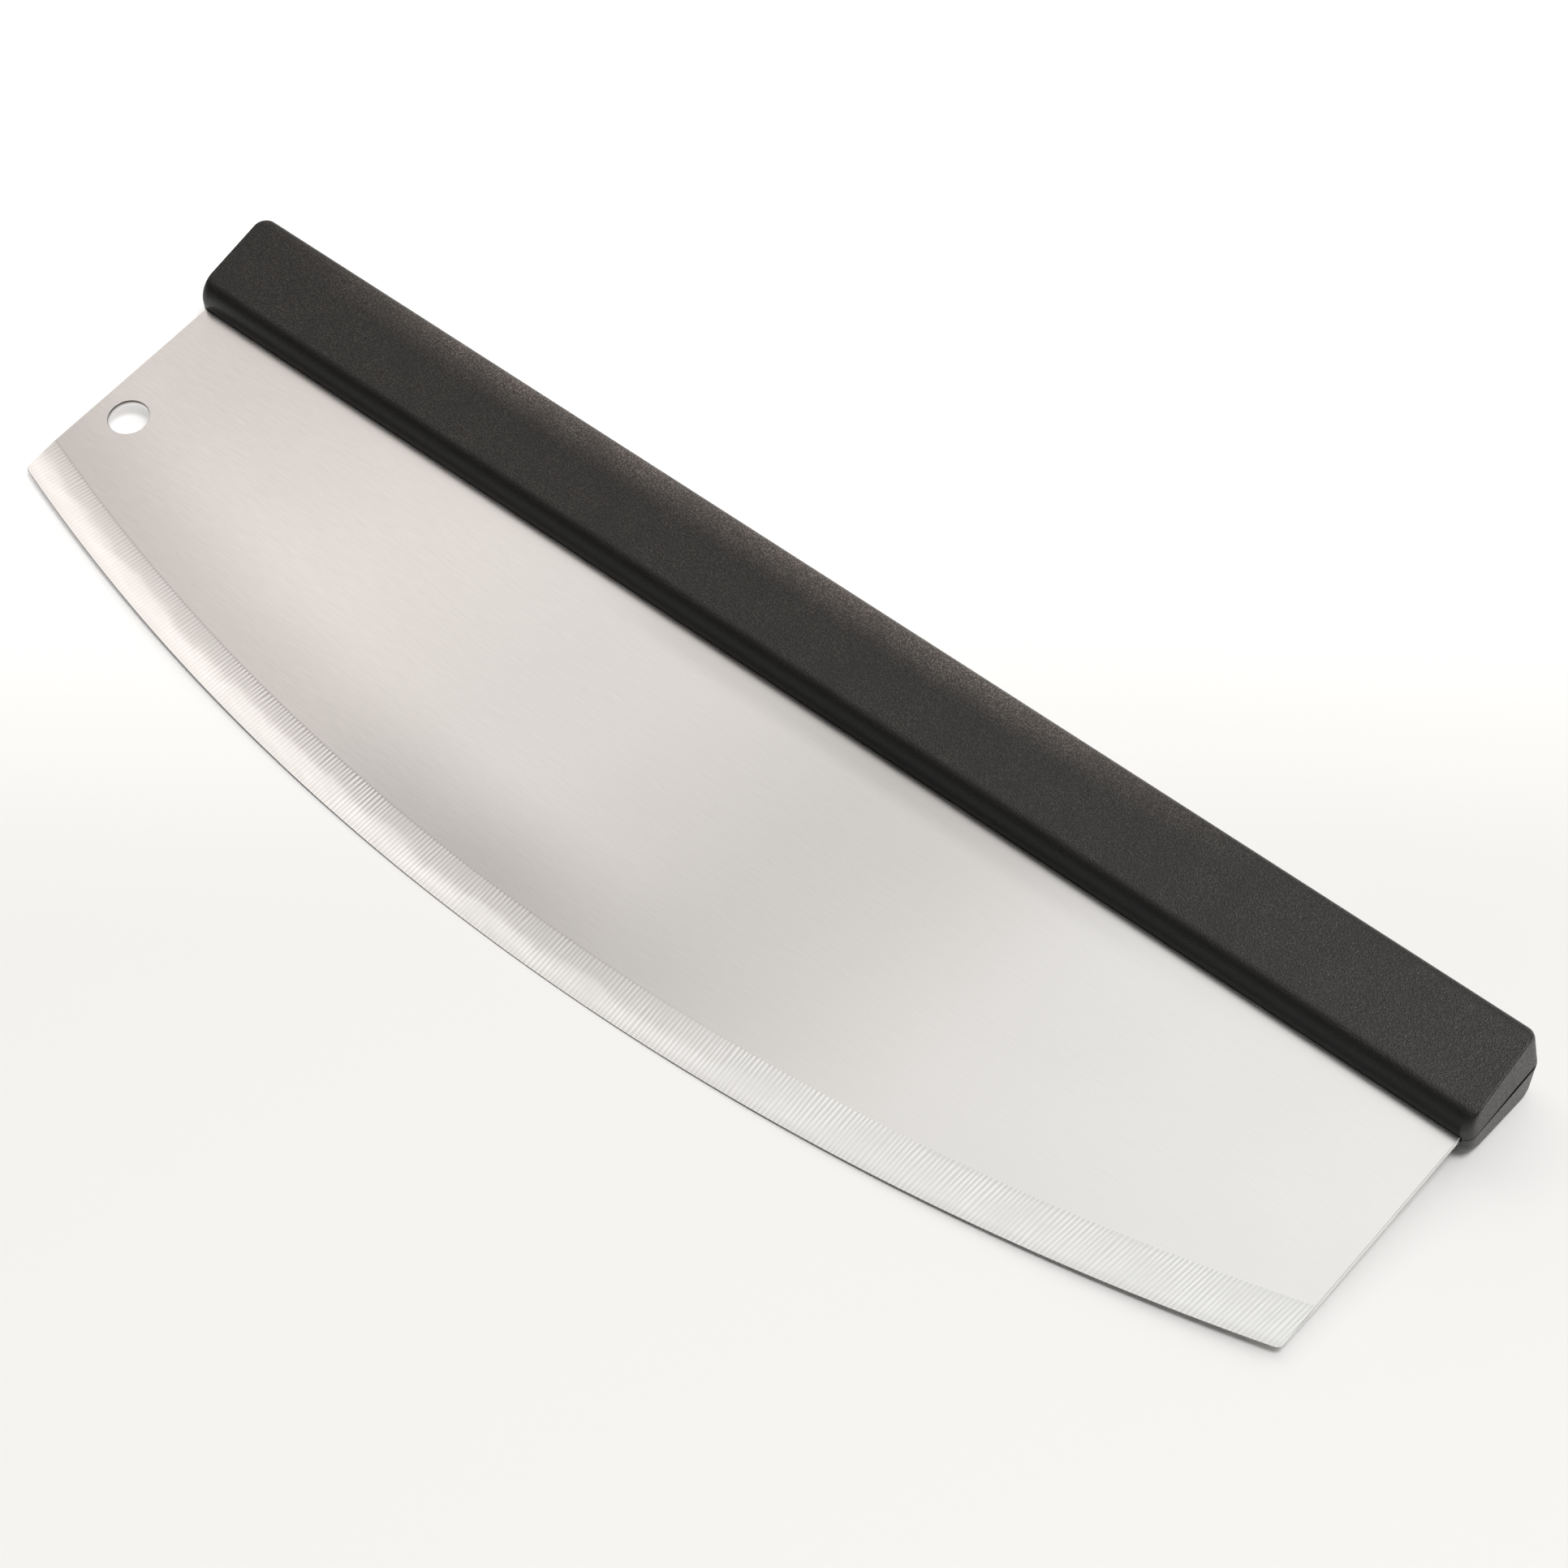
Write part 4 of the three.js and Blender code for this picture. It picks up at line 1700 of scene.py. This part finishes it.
@dataclass(frozen=True)
class Studio:
    """The pale table, the soft light and the camera of the picture."""

    table_size: float = 6.0
    table_drop: float = 0.02 * MM
    table_colour: Colour = (0.915, 0.908, 0.895)
    table_roughness: float = 0.9
    lift: float = 0.16
    near_lift: Span = (-0.04, 0.072)
    far_lift: Span = (0.03, 0.12)
    clear_light: Colour = (1.0, 1.0, 0.99)
    warm_light: Colour = (1.0, 0.93, 0.885)
    warm_side: Span = (-0.62, -0.25)
    bright_axis: Axis = (0.15, 0.35, 0.92)
    light_gain: float = 1.15
    light_offset: float = -0.07
    light_range: Span = (0.08, 0.98)
    front_light: float = 0.06
    front_range: Span = (-0.38, -0.06)
    low_light: float = 0.42
    low_slant: float = 0.14
    low_top: Span = (0.28, 0.54)
    low_front: Span = (-0.7, -0.4)
    low_left: Span = (-0.95, -0.7)
    side_axis: Axis = (-0.63, -0.01, 0.776)
    side_range: Span = (0.972, 0.993)
    side_gain: float = 0.8
    softbox: Softbox = Softbox()
    sensor: float = 36.0
    lens: float = 93.88
    nearest: float = 0.01
    camera_place: Axis = (0.3793, -0.3873, 0.6858)
    camera_forward: Axis = (-0.41836, 0.46055, -0.78286)
    camera_right: Axis = (0.75332, 0.65746, -0.01579)

    def build(self) -> None:
        """Sets up the table, the light and the camera."""
        self._table()
        self._surround()
        self.softbox.build()
        self._camera()
        bpy.context.scene.view_settings.view_transform = "Standard"

    def _table(self) -> None:
        """A wide pale sheet under the cutter, which fades to white behind it."""
        half = self.table_size / 2
        mesh = bpy.data.meshes.new("table")
        corners = ((-half, -half), (half, -half), (half, half), (-half, half))
        mesh.from_pydata([(x, y, -self.table_drop) for x, y in corners], [], [(0, 1, 2, 3)])
        table = bpy.data.objects.new("table", mesh)
        bpy.context.scene.collection.objects.link(table)
        mesh.materials.append(self._table_material())

    def _table_material(self) -> bpy.types.Material:
        """Pale paper, lifted to white behind the cutter where the camera sees it."""
        material, graph = blank_material("pale_paper")
        x, y, _ = graph.parts(graph.node("ShaderNodeTexCoord").outputs["Object"])
        away = x * -self.camera_right[1] + y * self.camera_right[0]
        behind = away.eased(*self.near_lift) + away.eased(*self.far_lift)
        paper = graph.node(
            "ShaderNodeBsdfPrincipled",
            {"Base Color": (*self.table_colour, 1.0), "Roughness": self.table_roughness},
        )
        path = graph.node("ShaderNodeLightPath")
        seen = (
            graph.value(path, "Is Camera Ray")
            .at_least(graph.value(path, "Is Glossy Ray"))
            .at_least(graph.value(path, "Is Transmission Ray"))
        )
        lift = graph.node("ShaderNodeEmission", {"Strength": behind * seen * self.lift})
        both = graph.node("ShaderNodeAddShader", {0: paper.outputs[0], 1: lift.outputs[0]})
        surface(graph, both.outputs[0])
        return material

    def _surround(self) -> None:
        """A white room: bright above, dim in front and warm on the left.

        A bright patch hangs high on the left, and a low glow lies in front and on the left.
        """
        world = bpy.data.worlds.new("studio")
        world.use_nodes = True
        bpy.context.scene.world = world
        graph = Graph(world.node_tree)
        x, y, z = graph.parts(graph.node("ShaderNodeTexCoord").outputs["Generated"])

        def facing(axis: Axis) -> Value:
            """Cosine of the angle between a direction and an axis."""
            unit = Vector(axis).normalized()
            return x * unit.x + y * unit.y + z * unit.z

        least, most = self.light_range
        above = facing(self.bright_axis) * self.light_gain + self.light_offset
        front = blend(self.front_light, 1.0, y.eased(*self.front_range))
        side = facing(self.side_axis).eased(*self.side_range)
        low = 1.0 - (z - x * self.low_slant).eased(*self.low_top)
        round_it = 1.0 - y.eased(*self.low_front).at_most(x.eased(*self.low_left))
        level = (
            above.at_least(least).at_most(most) * front
            + side * self.side_gain
            + low * round_it * self.low_light
        )
        tone = mix(graph, self.warm_light, self.clear_light, x.eased(*self.warm_side))
        light = graph.node("ShaderNodeBackground", {"Color": tone, "Strength": level})
        graph.node("ShaderNodeOutputWorld", {"Surface": light.outputs[0]})

    def _camera(self) -> None:
        """Stands the camera where the picture was taken from."""
        data = bpy.data.cameras.new("camera")
        data.sensor_width = self.sensor
        data.lens = self.lens
        data.clip_start = self.nearest
        camera = bpy.data.objects.new("camera", data)
        bpy.context.scene.collection.objects.link(camera)
        back = -Vector(self.camera_forward).normalized()
        right = Vector(self.camera_right)
        right = (right - back * right.dot(back)).normalized()
        turn = Matrix((right, back.cross(right), back)).transposed()
        camera.matrix_world = Matrix.Translation(self.camera_place) @ turn.to_4x4()
        bpy.context.scene.camera = camera


def main() -> None:
    """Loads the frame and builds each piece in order."""
    logging.basicConfig(level=logging.INFO, format="%(name)s: %(message)s")
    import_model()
    sizes = CutterSizes()
    place = Place(sizes.tilt, sizes.shift(*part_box("blade")))
    LOG.info("lies at %.4f degrees", math.degrees(place.tilt))
    patterns = Patterns.made(place)
    plastic = PlasticFinish().material(patterns, sizes.handle)
    Studio().build()
    Blade(sizes, place).build(BladeFinish().material(patterns, sizes.blade))
    for side in Side:
        HandleHalf(sizes, place, side).build(plastic)
    TangPins(sizes, place).build(PinFinish().material(patterns))


if __name__ == "__main__":
    main()
